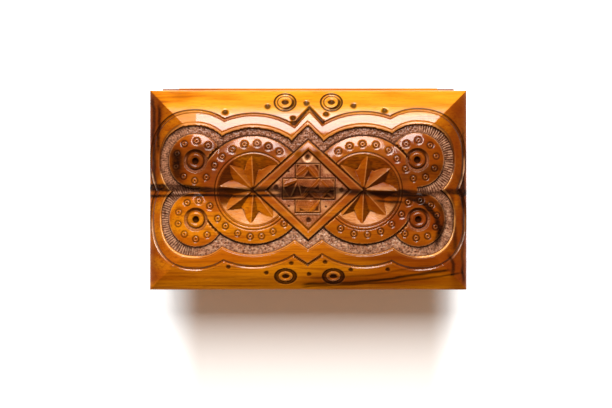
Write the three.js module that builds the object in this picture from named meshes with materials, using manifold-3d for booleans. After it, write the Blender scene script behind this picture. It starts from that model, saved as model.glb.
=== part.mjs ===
// Carved wooden casket with a pillow-shaped lid on hidden hinge pins.
//
// Millimetres, +Z up, +X to the right, +Y towards the back, where the hinge is. The origin is the
// middle of the rectangle that the casket covers, on the surface that it stands on.
//
// The lid is one thick board. Its top rises from a square rim over four mitred bevels to a flat
// crown. A scalloped field is sunk into it, and four roundels, two star rings and a diamond are
// left standing in the field, flush with the crown. The body is four finger-jointed walls on a
// base board. A rail under the lid's back edge lies between the side walls and turns on two pins.

import * as THREE from 'three';
import { ConvexGeometry } from 'three/addons/geometries/ConvexGeometry.js';
import { mergeVertices } from 'three/addons/utils/BufferGeometryUtils.js';
import Module from 'manifold-3d';

const wasm = await Module();
wasm.setup();

const casketHeight = 60;

// Lid board
const lidWidth = 160;
const lidDepth = 100.7;
const rimHeight = 4.5; // upright edge round the lid
const crownRise = 10.5; // crown above the rim
const crownRun = 24; // width of each bevel, seen from above
const crownPower = 2; // how fast a bevel flattens towards the crown
const bevelRows = 8; // flats that make up the curve of a bevel

// Body
const sideOverhang = 6; // lid beyond the side walls
const frontOverhang = 6; // lid beyond the front wall
const backSetback = 1.3; // back face of the body behind the lid's back edge
const wallThickness = 8;
const frontFingers = 5; // joints up the front corners
const backFingers = 4; // joints up the back corners
const baseThickness = 6;
const baseProjection = 2.5; // base board beyond the walls
const baseRound = 2; // rounding of the base board's upper edge
const seatGap = 0.3; // lid above the walls
const borderMargin = 4; // incised border on a wall's face, from the corner joints and the edges
const borderWidth = 1.2;
const borderDepth = 0.6;

// Hinge
const hingeDrop = 4; // pin axis below the lid's underside
const hingeInset = 3.5; // pin axis in front of the body's back face
const pinRadius = 1.2;
const pinHoleGap = 0.1; // hole round the pin
const pinDepthInRail = 14;
const pinRecess = 0.4; // pin's outer end inside the wall's face
const pinTipChamfer = 0.3;
const pinEndGap = 0.6; // end of the hole beyond the pin's tip
const railClearance = 0.4; // rail to side walls and to back wall
const turnClearance = 0.1; // rail's round underside inside the hinge circle

// Locating strips under the lid
const lipThickness = 4;
const lipHeight = 4;
const lipClearance = 0.8; // strip to wall
const lipChamfer = 1;

// Fasteners
const dowelRadius = 1.5;
const dowelFit = 0.06;
const dowelDepthInLid = 2.5;
const dowelRecess = 0.7; // dowel's lower end above the rail's underside
const dowelToPin = 5.5; // outer dowels from the ends of the pin holes
const nailRadius = 0.8;
const nailHeadRadius = 1.7;
const nailHeadThickness = 0.7;
const nailLength = 16;
const nailFit = 0.06;
const nailPoint = 1.6; // length of the nail's point
const nailRecess = 0.3; // nail head above the underside of the base
const nailInset = 30; // outer nails from the body's corners

// Carved field: sunk ground with a sloping edge
const fieldDepth = 2.2;
const fieldSlope = 1.6; // width of the sloping edge, seen from above
const grooveWidth = 1.6; // incised line round the field
const grooveDepth = 0.8;
const bandWidth = 5.4; // from the field's edge to the incised line

// Roundels
const roundelEdge = 24.4; // roundel centre from the lid's side edge
const roundelOffset = 14.7; // roundel centre from the lid's long middle line
const roundelRadius = 13.6;
const roundelField = 19.6; // field's edge round a roundel
const fieldFlattening = 0.96; // field's edge drawn in on the side of the lid's edge
const grooveFlattening = 0.92; // the same for the incised line
const flatteningPower = 2.3;
const bossRadius = 3.7;
const bossDome = 0.5; // boss's top above its sides
const bossGroove = 1.7; // width of the groove round the boss
const bossGrooveDepth = 1.1;
const bossHoleRadius = 1.7;
const bossHoleDepth = 1.6;
const bossHoleTaper = 0.3; // hole's bottom inside its rim

// Star rings and diamond
const ringSpacing = 28; // from a roundel's centre to its ring's centre, along the lid
const ringRadius = 27;
const ringField = 33.2; // field's edge round a ring
const starRadius = 17.6;
const starDepth = 1.7;
const starBevel = 1; // width of the star's sloping edge
const starPetals = 8;
const petalWidth = 5.6;
const petalWidest = 0.55; // place of the widest point along a petal
const petalRidgeDrop = 0.3; // ridge below the crown
const petalTipDrop = 0.6; // ends of the ridge below the crown
const petalTip = 1; // ends of the ridge from the petal's tips
const petalEdgeDrop = 1.3; // petal's sides below the crown
const cutGap = 0.6; // groove where one raised form lies over another
const edgeRound = 1.2; // rounding of a raised form's edge
const rootDepth = 1; // raised forms reach this far into the ground below them
const diamondHeight = 24.9; // half of its height, towards the back or front
const diamondBand = 3.6; // width of the diamond's frame
const diamondSink = 1.5; // ground inside the frame below the crown
const diamondSlope = 0.8; // width of the frame's sloping inner side
const crossSink = 0.6; // stepped cross below the crown
const crossRound = 0.4; // rounding of the cross's edge
const crossArm = 6.3; // half width of the cross's upright
const crossStep = 5.6; // half height of the cross's wide part
const crossReach = 13.4; // half width of the cross's wide part
const crossHeight = 12.4; // half height of the cross's upright
const gableBack = 34.6; // points of the field beyond the diamond, from the lid's long middle line
const gableFront = 30.7;
const gableSlopeBack = 1;
const gableSlopeFront = 0.68;

// Eye rings on the front and back bevels
const eyeOffset = 11.7; // from the lid's short middle line
const eyeEdge = 6.3; // from the lid's edge
const eyeRadius = 5.6;
const eyeBoss = 3.8;
const eyeDepth = 0.8;
const eyeHole = 1.5;
const eyeHoleDepth = 1.2;
const eyeTaper = 0.4; // narrowing of the groove and the hole towards their bottoms

// Steps round a circle
const fineSteps = 64;
const middleSteps = 40;
const coarseSteps = 24;
const dotSteps = 12;
const edgeSteps = 2; // flats in a rounded edge
const cutMargin = 1; // how far a cutter passes through a surface
const mergeDistance = 1e-4; // points closer than this are one

// Where things lie, measured from the lid's middle
const lidFront = -lidDepth / 2;
const lidBack = lidDepth / 2;
const bodyWidth = lidWidth - 2 * sideOverhang;
const bodyFront = lidFront + frontOverhang;
const bodyBack = lidBack + backSetback;
const bodyDepth = bodyBack - bodyFront;
const innerWidth = bodyWidth - 2 * wallThickness;
const innerFront = bodyFront + wallThickness;
const bodyMiddle = (bodyFront + bodyBack) / 2;
const crownTop = rimHeight + crownRise; // above the lid's underside
const lidUnderside = casketHeight - crownTop;
const wallTop = lidUnderside - seatGap;
const wallHeight = wallTop - baseThickness;
const pinY = bodyBack - hingeInset;
const pinZ = lidUnderside - hingeDrop;
const railLength = innerWidth - 2 * railClearance;
const pinHoleEnd = railLength / 2 - pinDepthInRail - pinEndGap; // from the lid's short middle line
const backWallTop = pinZ - hingeDrop - railClearance;
const coverFront = Math.min(lidFront, bodyFront - baseProjection);
const coverBack = Math.max(lidBack, bodyBack + baseProjection);
const roundelX = lidWidth / 2 - roundelEdge;
const ringX = roundelX - ringSpacing;

// Solids from meshes and back

function toSolid(geometry) {
  const bare = geometry.clone();
  bare.deleteAttribute('normal');
  bare.deleteAttribute('uv');
  const merged = mergeVertices(bare, mergeDistance);
  const triVerts = [];
  const index = merged.getIndex();
  for (let i = 0; i < index.count; i += 3) {
    const [a, b, c] = [index.getX(i), index.getX(i + 1), index.getX(i + 2)];
    if (a !== b && b !== c && c !== a) {
      triVerts.push(a, b, c);
    }
  }
  const mesh = new wasm.Mesh({
    numProp: 3,
    vertProperties: new Float32Array(merged.getAttribute('position').array),
    triVerts: new Uint32Array(triVerts),
  });
  return new wasm.Manifold(mesh);
}

function toGeometry(solid) {
  const { vertProperties, triVerts, numProp } = solid.getMesh();
  const positions = new Float32Array((vertProperties.length / numProp) * 3);
  for (let i = 0; i < positions.length / 3; i += 1) {
    positions.set(vertProperties.subarray(i * numProp, i * numProp + 3), i * 3);
  }
  const geometry = new THREE.BufferGeometry();
  geometry.setAttribute('position', new THREE.BufferAttribute(positions, 3));
  geometry.setIndex(new THREE.BufferAttribute(new Uint32Array(triVerts), 1));
  geometry.computeVertexNormals();
  return geometry;
}

function union(solids) {
  return solids.reduce((whole, solid) => whole.add(solid));
}

// Turned shapes and prisms

// Turns a closed profile of [radius, height] points, taken anticlockwise so that its faces point out
function lathe(profile, steps) {
  const points = profile.map(([radius, height]) => new THREE.Vector2(radius, height));
  if (THREE.ShapeUtils.area(points) < 0) {
    points.reverse();
  }
  const geometry = new THREE.LatheGeometry(points, steps);
  geometry.rotateX(Math.PI / 2);
  return geometry;
}

function cylinder(radius, bottom, top, steps) {
  const geometry = new THREE.CylinderGeometry(radius, radius, top - bottom, steps);
  geometry.rotateX(Math.PI / 2);
  geometry.translate(0, 0, (top + bottom) / 2);
  return geometry;
}

function polygonShape(points) {
  return new THREE.Shape(points.map(([x, y]) => new THREE.Vector2(x, y)));
}

function prism(shape, bottom, top) {
  const geometry = new THREE.ExtrudeGeometry(shape, {
    depth: top - bottom,
    bevelEnabled: false,
    curveSegments: middleSteps / 4,
  });
  geometry.translate(0, 0, bottom);
  return geometry;
}

// A prism whose two ends draw in by the given inset, over the given height
function taperedPrism(shape, bottom, top, { inset, height, steps }) {
  const geometry = new THREE.ExtrudeGeometry(shape, {
    depth: top - bottom - 2 * height,
    bevelSize: inset,
    bevelOffset: -inset,
    bevelThickness: height,
    bevelSegments: steps,
  });
  geometry.translate(0, 0, bottom + height);
  return geometry;
}

// A solid or ring with a rectangular outline and mitred corners, from a profile of [inset, height]
// points; an inset of Infinity is the middle. A four-sided lathe gives a square, whose halves are
// then pulled apart to the width and depth.
function mitred(profile, width, depth) {
  const square = Math.min(width, depth);
  const corner = Math.SQRT2;
  const points = profile.map(([inset, height]) => [corner * Math.max(square / 2 - inset, 0), height]);
  const geometry = lathe(points, 4);
  geometry.rotateZ(Math.PI / 4);
  const position = geometry.getAttribute('position');
  for (let i = 0; i < position.count; i += 1) {
    const [x, y] = [position.getX(i), position.getY(i)];
    if (Math.hypot(x, y) > mergeDistance) {
      position.setX(i, x + (Math.sign(x) * (width - square)) / 2);
      position.setY(i, y + (Math.sign(y) * (depth - square)) / 2);
    }
  }
  return geometry;
}

// Quarter round from a flat top down to an upright side, as [inset, drop] points
function quarterRound(radius, steps) {
  return Array.from({ length: steps + 1 }, (_, i) => {
    const angle = (Math.PI / 2) * (i / steps);
    return [radius * (1 - Math.sin(angle)), radius * (1 - Math.cos(angle))];
  });
}

// Profile of a V-shaped cutter, with its point below a flat surface at height 0
function vee(middle, width, depth) {
  const reach = ((width / 2) * (depth + cutMargin)) / depth;
  return [
    [middle - reach, cutMargin],
    [middle, -depth],
    [middle + reach, cutMargin],
    [middle - reach, cutMargin],
  ];
}

function moved(geometry, x, y) {
  return geometry.clone().translate(x, y, 0);
}

// The lid's curved top

function bevelHeight(fromEdge) {
  const share = Math.min(Math.max(fromEdge / crownRun, 0), 1);
  return crownRise * (1 - Math.pow(1 - share, crownPower));
}

// Height of the lid's top above its underside
function topHeight(x, y) {
  const fromEdge = Math.min(lidWidth / 2 - Math.abs(x), lidDepth / 2 - Math.abs(y));
  return rimHeight + bevelHeight(fromEdge);
}

// Lays a geometry, drawn as if the lid's top were flat at z = 0, over the curved top
function drape(geometry) {
  const position = geometry.getAttribute('position');
  for (let i = 0; i < position.count; i += 1) {
    const [x, y, z] = [position.getX(i), position.getY(i), position.getZ(i)];
    position.setZ(i, z + topHeight(x, y));
  }
  return geometry;
}

function pillow(lowering) {
  const bevel = Array.from({ length: bevelRows + 1 }, (_, row) => {
    const fromEdge = (crownRun * row) / bevelRows;
    return [fromEdge, rimHeight + bevelHeight(fromEdge) - lowering];
  });
  const profile = [[Infinity, 0], [0, 0], ...bevel, [Infinity, crownTop - lowering]];
  return mitred(profile, lidWidth, lidDepth);
}

// Outlines of the lobes, as multipliers of a circle's radius by direction

function superellipse(cos, sin, across, along, power) {
  const sum = Math.pow(Math.abs(cos) / across, power) + Math.pow(Math.abs(sin) / along, power);
  return Math.pow(sum, -1 / power);
}

const round = () => 1;

// Drawn in on the side of the lid's edge
function flattened(side, amount) {
  return (cos, sin) => (cos * side > 0 ? superellipse(cos, sin, amount, 1, flatteningPower) : 1);
}

// A gable with straight slopes. Its other half is shallow, and lies within the field.
function gabled(end, slope) {
  const shallow = 0.2;
  return (cos, sin) => superellipse(cos, sin, 1 / slope, sin * end > 0 ? 1 : shallow, 1);
}

function reshape(geometry, outline) {
  const position = geometry.getAttribute('position');
  for (let i = 0; i < position.count; i += 1) {
    const [x, y] = [position.getX(i), position.getY(i)];
    const radius = Math.hypot(x, y);
    if (radius > 0) {
      const scale = outline(x / radius, y / radius);
      position.setXY(i, x * scale, y * scale);
    }
  }
  return geometry;
}

// Sunk field: a lobe round each roundel and each star ring, and two gables

const corners = [-1, 1].flatMap((side) => [-1, 1].map((end) => ({ side, end })));

// Draws the same thing along every lobe, at a distance outside the field's edge
function lobes(distance, flattening, draw) {
  const roundels = corners.map(({ side, end }) => {
    const geometry = draw(roundelField + distance, middleSteps, 1);
    return moved(reshape(geometry, flattened(side, flattening)), side * roundelX, end * roundelOffset);
  });
  const rings = [-1, 1].map((side) => {
    const geometry = draw(ringField + distance, fineSteps, 1);
    return moved(reshape(geometry, round), side * ringX, 0);
  });
  const gables = [[1, gableBack, gableSlopeBack], [-1, gableFront, gableSlopeFront]];
  const points = gables.map(([end, reach, slope]) => {
    const slant = Math.hypot(1, slope);
    return reshape(draw(reach + distance, fineSteps, slant), gabled(end, slope));
  });
  return [...roundels, ...rings, ...points];
}

// The ground is parallel to the lid's top, and the edge slopes down to it
function fieldCutter() {
  const clear = crownTop + cutMargin;
  const low = -fieldDepth - cutMargin;
  const slopes = lobes(0, fieldFlattening, (radius, steps, slant) => {
    const edge = (height) => radius + (slant * fieldSlope * height) / fieldDepth;
    const start = edge(low) - cutMargin;
    const profile = [[start, cutMargin], [start, low], [edge(low), low], [edge(cutMargin), cutMargin]];
    return lathe([...profile, profile[0]], steps);
  });
  const floors = lobes(0, fieldFlattening, (radius, steps, slant) => {
    const edge = radius - slant * fieldSlope;
    return cylinder(edge - cutMargin, rimHeight, clear, steps);
  });
  const ground = toSolid(pillow(fieldDepth));
  return union([...slopes.map(drape), ...floors].map(toSolid)).subtract(ground);
}

// Incised line round the field. Each lobe's line stops where the next lobe begins.
function contourGroove() {
  const lines = lobes(bandWidth, grooveFlattening, (radius, steps, slant) => (
    lathe(vee(radius, slant * grooveWidth, grooveDepth), steps)
  ));
  const fills = lobes(bandWidth, grooveFlattening, (radius, steps) => (
    cylinder(radius, 0, 2 * crownTop, steps)
  ));
  const solids = fills.map(toSolid);
  return union(lines.map(drape).map(toSolid).map((line, i) => (
    line.subtract(union(solids.filter((_, j) => j !== i)))
  )));
}

// Raised forms, drawn with the lid's top at z = 0

const rootBottom = -fieldDepth - rootDepth;

function roundedRim(radius) {
  const edge = quarterRound(edgeRound, edgeSteps).map(([inset, drop]) => [radius - inset, -drop]);
  return [...edge, [radius, rootBottom], [0, rootBottom]];
}

function roundel(side, end) {
  const profile = [
    [0, -bossHoleDepth],
    [bossHoleRadius - bossHoleTaper, -bossHoleDepth],
    [bossHoleRadius, -bossDome / 2],
    [(bossHoleRadius + bossRadius) / 2, 0],
    [bossRadius, -bossDome],
    [bossRadius + bossGroove / 2, -bossGrooveDepth],
    [bossRadius + bossGroove, 0],
    [(bossRadius + roundelRadius) / 2, 0],
    ...roundedRim(roundelRadius),
  ];
  const disc = drape(moved(lathe(profile, middleSteps), side * roundelX, end * roundelOffset));
  const ring = moved(cylinder(ringRadius + cutGap, 0, 2 * crownTop, fineSteps), side * ringX, 0);
  return toSolid(disc).subtract(toSolid(ring));
}

// One petal is a ridge from the star's middle to its rim, with sloping sides
function petal(angle) {
  const widest = starRadius * petalWidest;
  const half = petalWidth / 2;
  const outline = [[0, 0], [widest, half], [starRadius, 0], [widest, -half]];
  const sides = outline.map(([x, y]) => [x, y, -petalEdgeDrop]);
  const roots = outline.map(([x, y]) => [x, y, rootBottom]);
  const ridge = [
    [petalTip, 0, -petalTipDrop],
    [widest, 0, -petalRidgeDrop],
    [starRadius - petalTip, 0, -petalTipDrop],
  ];
  const points = [...sides, ...ridge, ...roots].map((point) => new THREE.Vector3(...point));
  return new ConvexGeometry(points).rotateZ(angle);
}

function starRing(side) {
  const profile = [
    [0, -starDepth],
    [starRadius, -starDepth],
    [starRadius + starBevel, 0],
    ...roundedRim(ringRadius),
  ];
  const petals = Array.from({ length: starPetals }, (_, i) => petal((2 * Math.PI * i) / starPetals));
  const pieces = [lathe(profile, fineSteps), ...petals];
  return union(pieces.map((geometry) => toSolid(geometry.translate(side * ringX, 0, crownTop))));
}

function crossShape() {
  const quarter = [[crossReach, crossStep], [crossArm, crossStep], [crossArm, crossHeight]];
  const mirrored = quarter.map(([x, y]) => [-x, y]).reverse();
  const upper = [...quarter, ...mirrored];
  const lower = upper.map(([x, y]) => [-x, -y]);
  return polygonShape([...upper, ...lower]);
}

// The diamond's outline, moved out by a distance from its sides. Its ends are the stars' middles.
function diamondShape(distance) {
  const slant = Math.hypot(ringX, diamondHeight);
  const middleToSide = (ringX * diamondHeight) / slant;
  const scale = 1 + distance / middleToSide;
  const [half, height] = [ringX * scale, diamondHeight * scale];
  return polygonShape([[-half, 0], [0, -height], [half, 0], [0, height]]);
}

function diamond() {
  const floor = crownTop - diamondSink;
  const bottom = crownTop + rootBottom;
  const rim = { inset: edgeRound, height: edgeRound, steps: edgeSteps };
  const innerSide = { inset: diamondSlope, height: diamondSink, steps: 1 };
  const crossRim = { inset: crossRound, height: crossRound, steps: edgeSteps };
  const plate = taperedPrism(diamondShape(0), bottom, crownTop, rim);
  const well = taperedPrism(diamondShape(-diamondBand), floor, crownTop + 2 * diamondSink, innerSide);
  const cross = taperedPrism(crossShape(), bottom, crownTop - crossSink, crossRim);
  return toSolid(plate).subtract(toSolid(well)).add(toSolid(cross));
}

function raisedForms() {
  const roundels = corners.map(({ side, end }) => roundel(side, end));
  const clearance = toSolid(prism(diamondShape(cutGap), 0, 2 * crownTop));
  const rings = [-1, 1].map((side) => starRing(side).subtract(clearance));
  return union([...roundels, ...rings, diamond()]);
}

// Eye rings: a groove round a low boss with a hole, foreshortened by the slope of the bevel
function eyeCutters() {
  const slope = ((crownPower * crownRise) / crownRun) * Math.pow(1 - eyeEdge / crownRun, crownPower - 1);
  const squeeze = Math.cos(Math.atan(slope));
  const groove = [
    [eyeBoss, cutMargin],
    [eyeBoss, -eyeDepth],
    [eyeRadius - eyeTaper, -eyeDepth],
    [eyeRadius, cutMargin],
    [eyeBoss, cutMargin],
  ];
  const hole = [
    [0, -eyeHoleDepth],
    [eyeHole - eyeTaper, -eyeHoleDepth],
    [eyeHole, cutMargin],
    [0, cutMargin],
  ];
  return corners.flatMap(({ side, end }) => [groove, hole].map((profile) => {
    const shape = lathe(profile, coarseSteps).scale(1, squeeze, 1);
    return toSolid(drape(moved(shape, side * eyeOffset, end * (lidDepth / 2 - eyeEdge))));
  }));
}

// Dowel holes in the lid's underside and in the rail

function dowelPlaces() {
  const outer = pinHoleEnd - dowelToPin - dowelRadius;
  return [-outer, 0, outer];
}

function lidPanel() {
  const dowelHoles = dowelPlaces().map((x) => toSolid(
    moved(cylinder(dowelRadius + dowelFit, -cutMargin, dowelDepthInLid + dowelFit, dotSteps), x, pinY),
  ));
  const cutters = union([fieldCutter(), contourGroove(), ...eyeCutters(), ...dowelHoles]);
  return toGeometry(toSolid(pillow(0)).subtract(cutters).add(raisedForms()));
}

// Body

// Outline of a wall's end, going up, with a finger at every other step
function fingerEdge(inner, outer, height, count, firstOut) {
  const points = [];
  for (let i = 0; i < count; i += 1) {
    const out = (i % 2 === 0) === firstOut;
    const x = out ? outer : inner;
    points.push([x, (height * i) / count], [x, (height * (i + 1)) / count]);
  }
  return points;
}

// Front and back walls lie between the side walls, and reach through them with their fingers
function crossWallShape(height, count) {
  const right = fingerEdge(innerWidth / 2, bodyWidth / 2, height, count, false);
  const left = right.map(([x, y]) => [-x, y]).reverse();
  return polygonShape([...right, ...left]);
}

// Side walls, drawn from the front. The back top corner is round about the hinge pin, so that the
// lid can turn past it.
function sideWallShape() {
  const front = fingerEdge(wallThickness, 0, wallHeight, frontFingers, true);
  const back = fingerEdge(
    bodyDepth - wallThickness, bodyDepth, backWallTop - baseThickness, backFingers, true,
  );
  const shape = polygonShape(back);
  const pinAlong = pinY - bodyFront;
  const pinUp = pinZ - baseThickness;
  const radius = hingeDrop - seatGap;
  const start = Math.acos(Math.min(hingeInset / radius, 1));
  shape.lineTo(bodyDepth, backWallTop - baseThickness);
  shape.absarc(pinAlong, pinUp, radius, start, Math.PI / 2, false);
  front.reverse().forEach(([x, y]) => shape.lineTo(x, y));
  return shape;
}

function nailPlaces() {
  const alongX = bodyWidth / 2 - nailInset;
  const alongY = bodyDepth / 2 - nailInset;
  const frontLine = bodyFront + wallThickness / 2;
  const backLine = bodyBack - wallThickness / 2;
  const sideLine = bodyWidth / 2 - wallThickness / 2;
  return {
    front: [[-alongX, frontLine], [alongX, frontLine]],
    back: [[-alongX, backLine], [alongX, backLine]],
    left: [[-sideLine, bodyMiddle - alongY], [-sideLine, bodyMiddle + alongY]],
    right: [[sideLine, bodyMiddle - alongY], [sideLine, bodyMiddle + alongY]],
  };
}

function nailHoles(places) {
  const top = nailRecess + nailLength + nailFit;
  return union(places.map(([x, y]) => toSolid(
    moved(cylinder(nailRadius + nailFit, -cutMargin, top, dotSteps), x, y),
  )));
}

function nail() {
  return lathe([
    [0, 0],
    [nailHeadRadius, 0],
    [nailHeadRadius, nailHeadThickness],
    [nailRadius, nailHeadThickness],
    [nailRadius, nailLength - nailPoint],
    [0, nailLength],
  ], dotSteps);
}

// Incised border on the outer face of a wall, which looks out at the given turn about Z
function border(width, top, turn, x, y) {
  const inset = wallThickness + borderMargin;
  const height = top - baseThickness - 2 * borderMargin;
  const geometry = mitred(vee(0, borderWidth, borderDepth), width - 2 * inset, height);
  geometry.rotateX(Math.PI / 2);
  geometry.rotateZ(turn);
  geometry.translate(x, y, (baseThickness + top) / 2);
  return toSolid(geometry);
}

function frontWall() {
  const geometry = prism(crossWallShape(wallHeight, frontFingers), 0, wallThickness);
  geometry.rotateX(Math.PI / 2);
  geometry.translate(0, innerFront, baseThickness);
  const frame = border(bodyWidth, wallTop, 0, 0, bodyFront);
  return toGeometry(toSolid(geometry).subtract(nailHoles(nailPlaces().front)).subtract(frame));
}

function backWall() {
  const height = backWallTop - baseThickness;
  const geometry = prism(crossWallShape(height, backFingers), 0, wallThickness);
  geometry.rotateX(Math.PI / 2);
  geometry.translate(0, bodyBack, baseThickness);
  const frame = border(bodyWidth, backWallTop, Math.PI, 0, bodyBack);
  return toGeometry(toSolid(geometry).subtract(nailHoles(nailPlaces().back)).subtract(frame));
}

function pinHole(from, to) {
  const geometry = cylinder(pinRadius + pinHoleGap, from, to, coarseSteps);
  geometry.rotateY(Math.PI / 2);
  geometry.translate(0, pinY, pinZ);
  return toSolid(geometry);
}

function sideWall(side) {
  const geometry = prism(sideWallShape(), 0, wallThickness);
  geometry.rotateZ(Math.PI / 2);
  geometry.rotateY(Math.PI / 2);
  const start = side > 0 ? bodyWidth / 2 - wallThickness : -bodyWidth / 2;
  geometry.translate(start, bodyFront, baseThickness);
  const holes = nailHoles(side > 0 ? nailPlaces().right : nailPlaces().left);
  const through = pinHole(start - cutMargin, start + wallThickness + cutMargin);
  const frame = border(bodyDepth, wallTop, (side * Math.PI) / 2, (side * bodyWidth) / 2, bodyMiddle);
  return toGeometry(toSolid(geometry).subtract(holes).subtract(through).subtract(frame));
}

function baseBoard() {
  const upperEdge = quarterRound(baseRound, 2 * edgeSteps).reverse().map(([inset, drop]) => (
    [inset, baseThickness - drop]
  ));
  const profile = [[Infinity, 0], [0, 0], ...upperEdge, [Infinity, baseThickness]];
  const board = mitred(profile, bodyWidth + 2 * baseProjection, bodyDepth + 2 * baseProjection);
  const places = Object.values(nailPlaces()).flat();
  const seatTop = nailRecess + nailHeadThickness + nailFit;
  const seats = places.map(([x, y]) => toSolid(
    moved(cylinder(nailHeadRadius + nailFit, -cutMargin, seatTop, dotSteps), x, y),
  ));
  return toGeometry(toSolid(moved(board, 0, bodyMiddle)).subtract(nailHoles(places)).subtract(union(seats)));
}

// Hinge, drawn about the pin's axis

function hingeRail() {
  const radius = hingeDrop - turnClearance;
  const shape = new THREE.Shape();
  const lowest = -Math.acos(Math.min(hingeInset / radius, 1));
  shape.moveTo(hingeInset, hingeDrop);
  shape.lineTo(-radius, hingeDrop);
  shape.lineTo(-radius, 0);
  shape.absarc(0, 0, radius, -Math.PI, lowest, false);
  shape.lineTo(hingeInset, hingeDrop);
  const geometry = prism(shape, 0, railLength);
  geometry.rotateZ(Math.PI / 2);
  geometry.rotateY(Math.PI / 2);
  geometry.translate(-railLength / 2, 0, 0);
  const bores = [-1, 1].map((side) => {
    const bore = cylinder(pinRadius + pinHoleGap, pinHoleEnd, railLength / 2 + cutMargin, coarseSteps);
    bore.rotateY((side * Math.PI) / 2);
    return toSolid(bore);
  });
  const dowelHoles = dowelPlaces().map((x) => toSolid(
    moved(cylinder(dowelRadius + dowelFit, -hingeDrop - cutMargin, hingeDrop + cutMargin, dotSteps), x, 0),
  ));
  return toGeometry(toSolid(geometry).subtract(union([...bores, ...dowelHoles])));
}

function hingePin() {
  const length = wallThickness - pinRecess + railClearance + pinDepthInRail;
  const profile = [
    [0, 0],
    [pinRadius - pinTipChamfer, 0],
    [pinRadius, pinTipChamfer],
    [pinRadius, length - pinTipChamfer],
    [pinRadius - pinTipChamfer, length],
    [0, length],
  ];
  return lathe(profile, coarseSteps);
}

function railDowel() {
  const bottom = -hingeDrop + turnClearance + dowelRecess;
  return cylinder(dowelRadius, bottom, hingeDrop + dowelDepthInLid, dotSteps);
}

// Strips under the lid. Each is drawn with its outer face at 0 and its top at 0.

function lipSection() {
  return polygonShape([
    [0, 0],
    [0, -lipHeight + lipChamfer],
    [lipChamfer, -lipHeight],
    [lipThickness, -lipHeight],
    [lipThickness, 0],
  ]);
}

const oiledWood = { color: 0xb8690f, roughness: 0.3, metalness: 0 };
const bareWood = { color: 0xb98a4e, roughness: 0.55, metalness: 0 };
const steel = { color: 0x8f8d88, roughness: 0.4, metalness: 1 };

function piece(name, geometry, finish) {
  const mesh = new THREE.Mesh(geometry, new THREE.MeshStandardMaterial(finish));
  mesh.name = name;
  return mesh;
}

function lipPieces() {
  const reach = innerWidth / 2 - lipClearance;
  const frontLine = innerFront + lipClearance - pinY;
  const sideLength = -(hingeDrop - turnClearance) - (frontLine + lipThickness);
  const front = piece('lid_lip_front', prism(lipSection(), 0, 2 * reach), oiledWood);
  front.rotation.set(Math.PI / 2, Math.PI / 2, 0);
  front.position.set(-reach, frontLine, hingeDrop);
  const left = piece('lid_lip_left', prism(lipSection(), 0, sideLength), oiledWood);
  left.rotation.set(Math.PI / 2, 0, 0);
  left.position.set(-reach, frontLine + lipThickness + sideLength, hingeDrop);
  const right = piece('lid_lip_right', prism(lipSection(), 0, sideLength), oiledWood);
  right.rotation.set(Math.PI / 2, Math.PI, 0);
  right.position.set(reach, frontLine + lipThickness, hingeDrop);
  return [front, left, right];
}

function buildBody() {
  const body = new THREE.Group();
  body.add(piece('base_board', baseBoard(), oiledWood));
  body.add(piece('front_wall', frontWall(), oiledWood));
  body.add(piece('back_wall', backWall(), oiledWood));
  body.add(piece('left_wall', sideWall(-1), oiledWood));
  body.add(piece('right_wall', sideWall(1), oiledWood));
  Object.entries(nailPlaces()).forEach(([wall, places]) => places.forEach(([x, y], i) => {
    const fastener = piece(`base_nail_${wall}_${i + 1}`, nail(), steel);
    fastener.position.set(x, y, nailRecess);
    body.add(fastener);
  }));
  [['hinge_pin_left', -1], ['hinge_pin_right', 1]].forEach(([name, side]) => {
    const pin = piece(name, hingePin(), steel);
    pin.rotation.y = (-side * Math.PI) / 2;
    pin.position.set(side * (bodyWidth / 2 - pinRecess), pinY, pinZ);
    body.add(pin);
  });
  return body;
}

// The lid's group stands on the hinge axis, so that turning it about X opens the lid
function buildLid() {
  const lid = new THREE.Group();
  lid.position.set(0, pinY, pinZ);
  const panel = piece('lid_panel', lidPanel(), oiledWood);
  panel.position.set(0, -pinY, hingeDrop);
  lid.add(panel);
  lid.add(piece('hinge_rail', hingeRail(), oiledWood));
  dowelPlaces().forEach((x, i) => {
    const dowel = piece(`rail_dowel_${i + 1}`, railDowel(), bareWood);
    dowel.position.x = x;
    lid.add(dowel);
  });
  lipPieces().forEach((strip) => lid.add(strip));
  return lid;
}

const casket = new THREE.Group();
casket.add(buildBody(), buildLid());
casket.position.y = -(coverFront + coverBack) / 2;

export default casket;
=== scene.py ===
# Carved wooden casket: the finish of every piece and the fine carving of the lid.
#
# Blender works in metres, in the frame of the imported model. The carving is worked out in
# millimetres from the lid's middle, x to the right and y to the back.

import math

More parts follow.
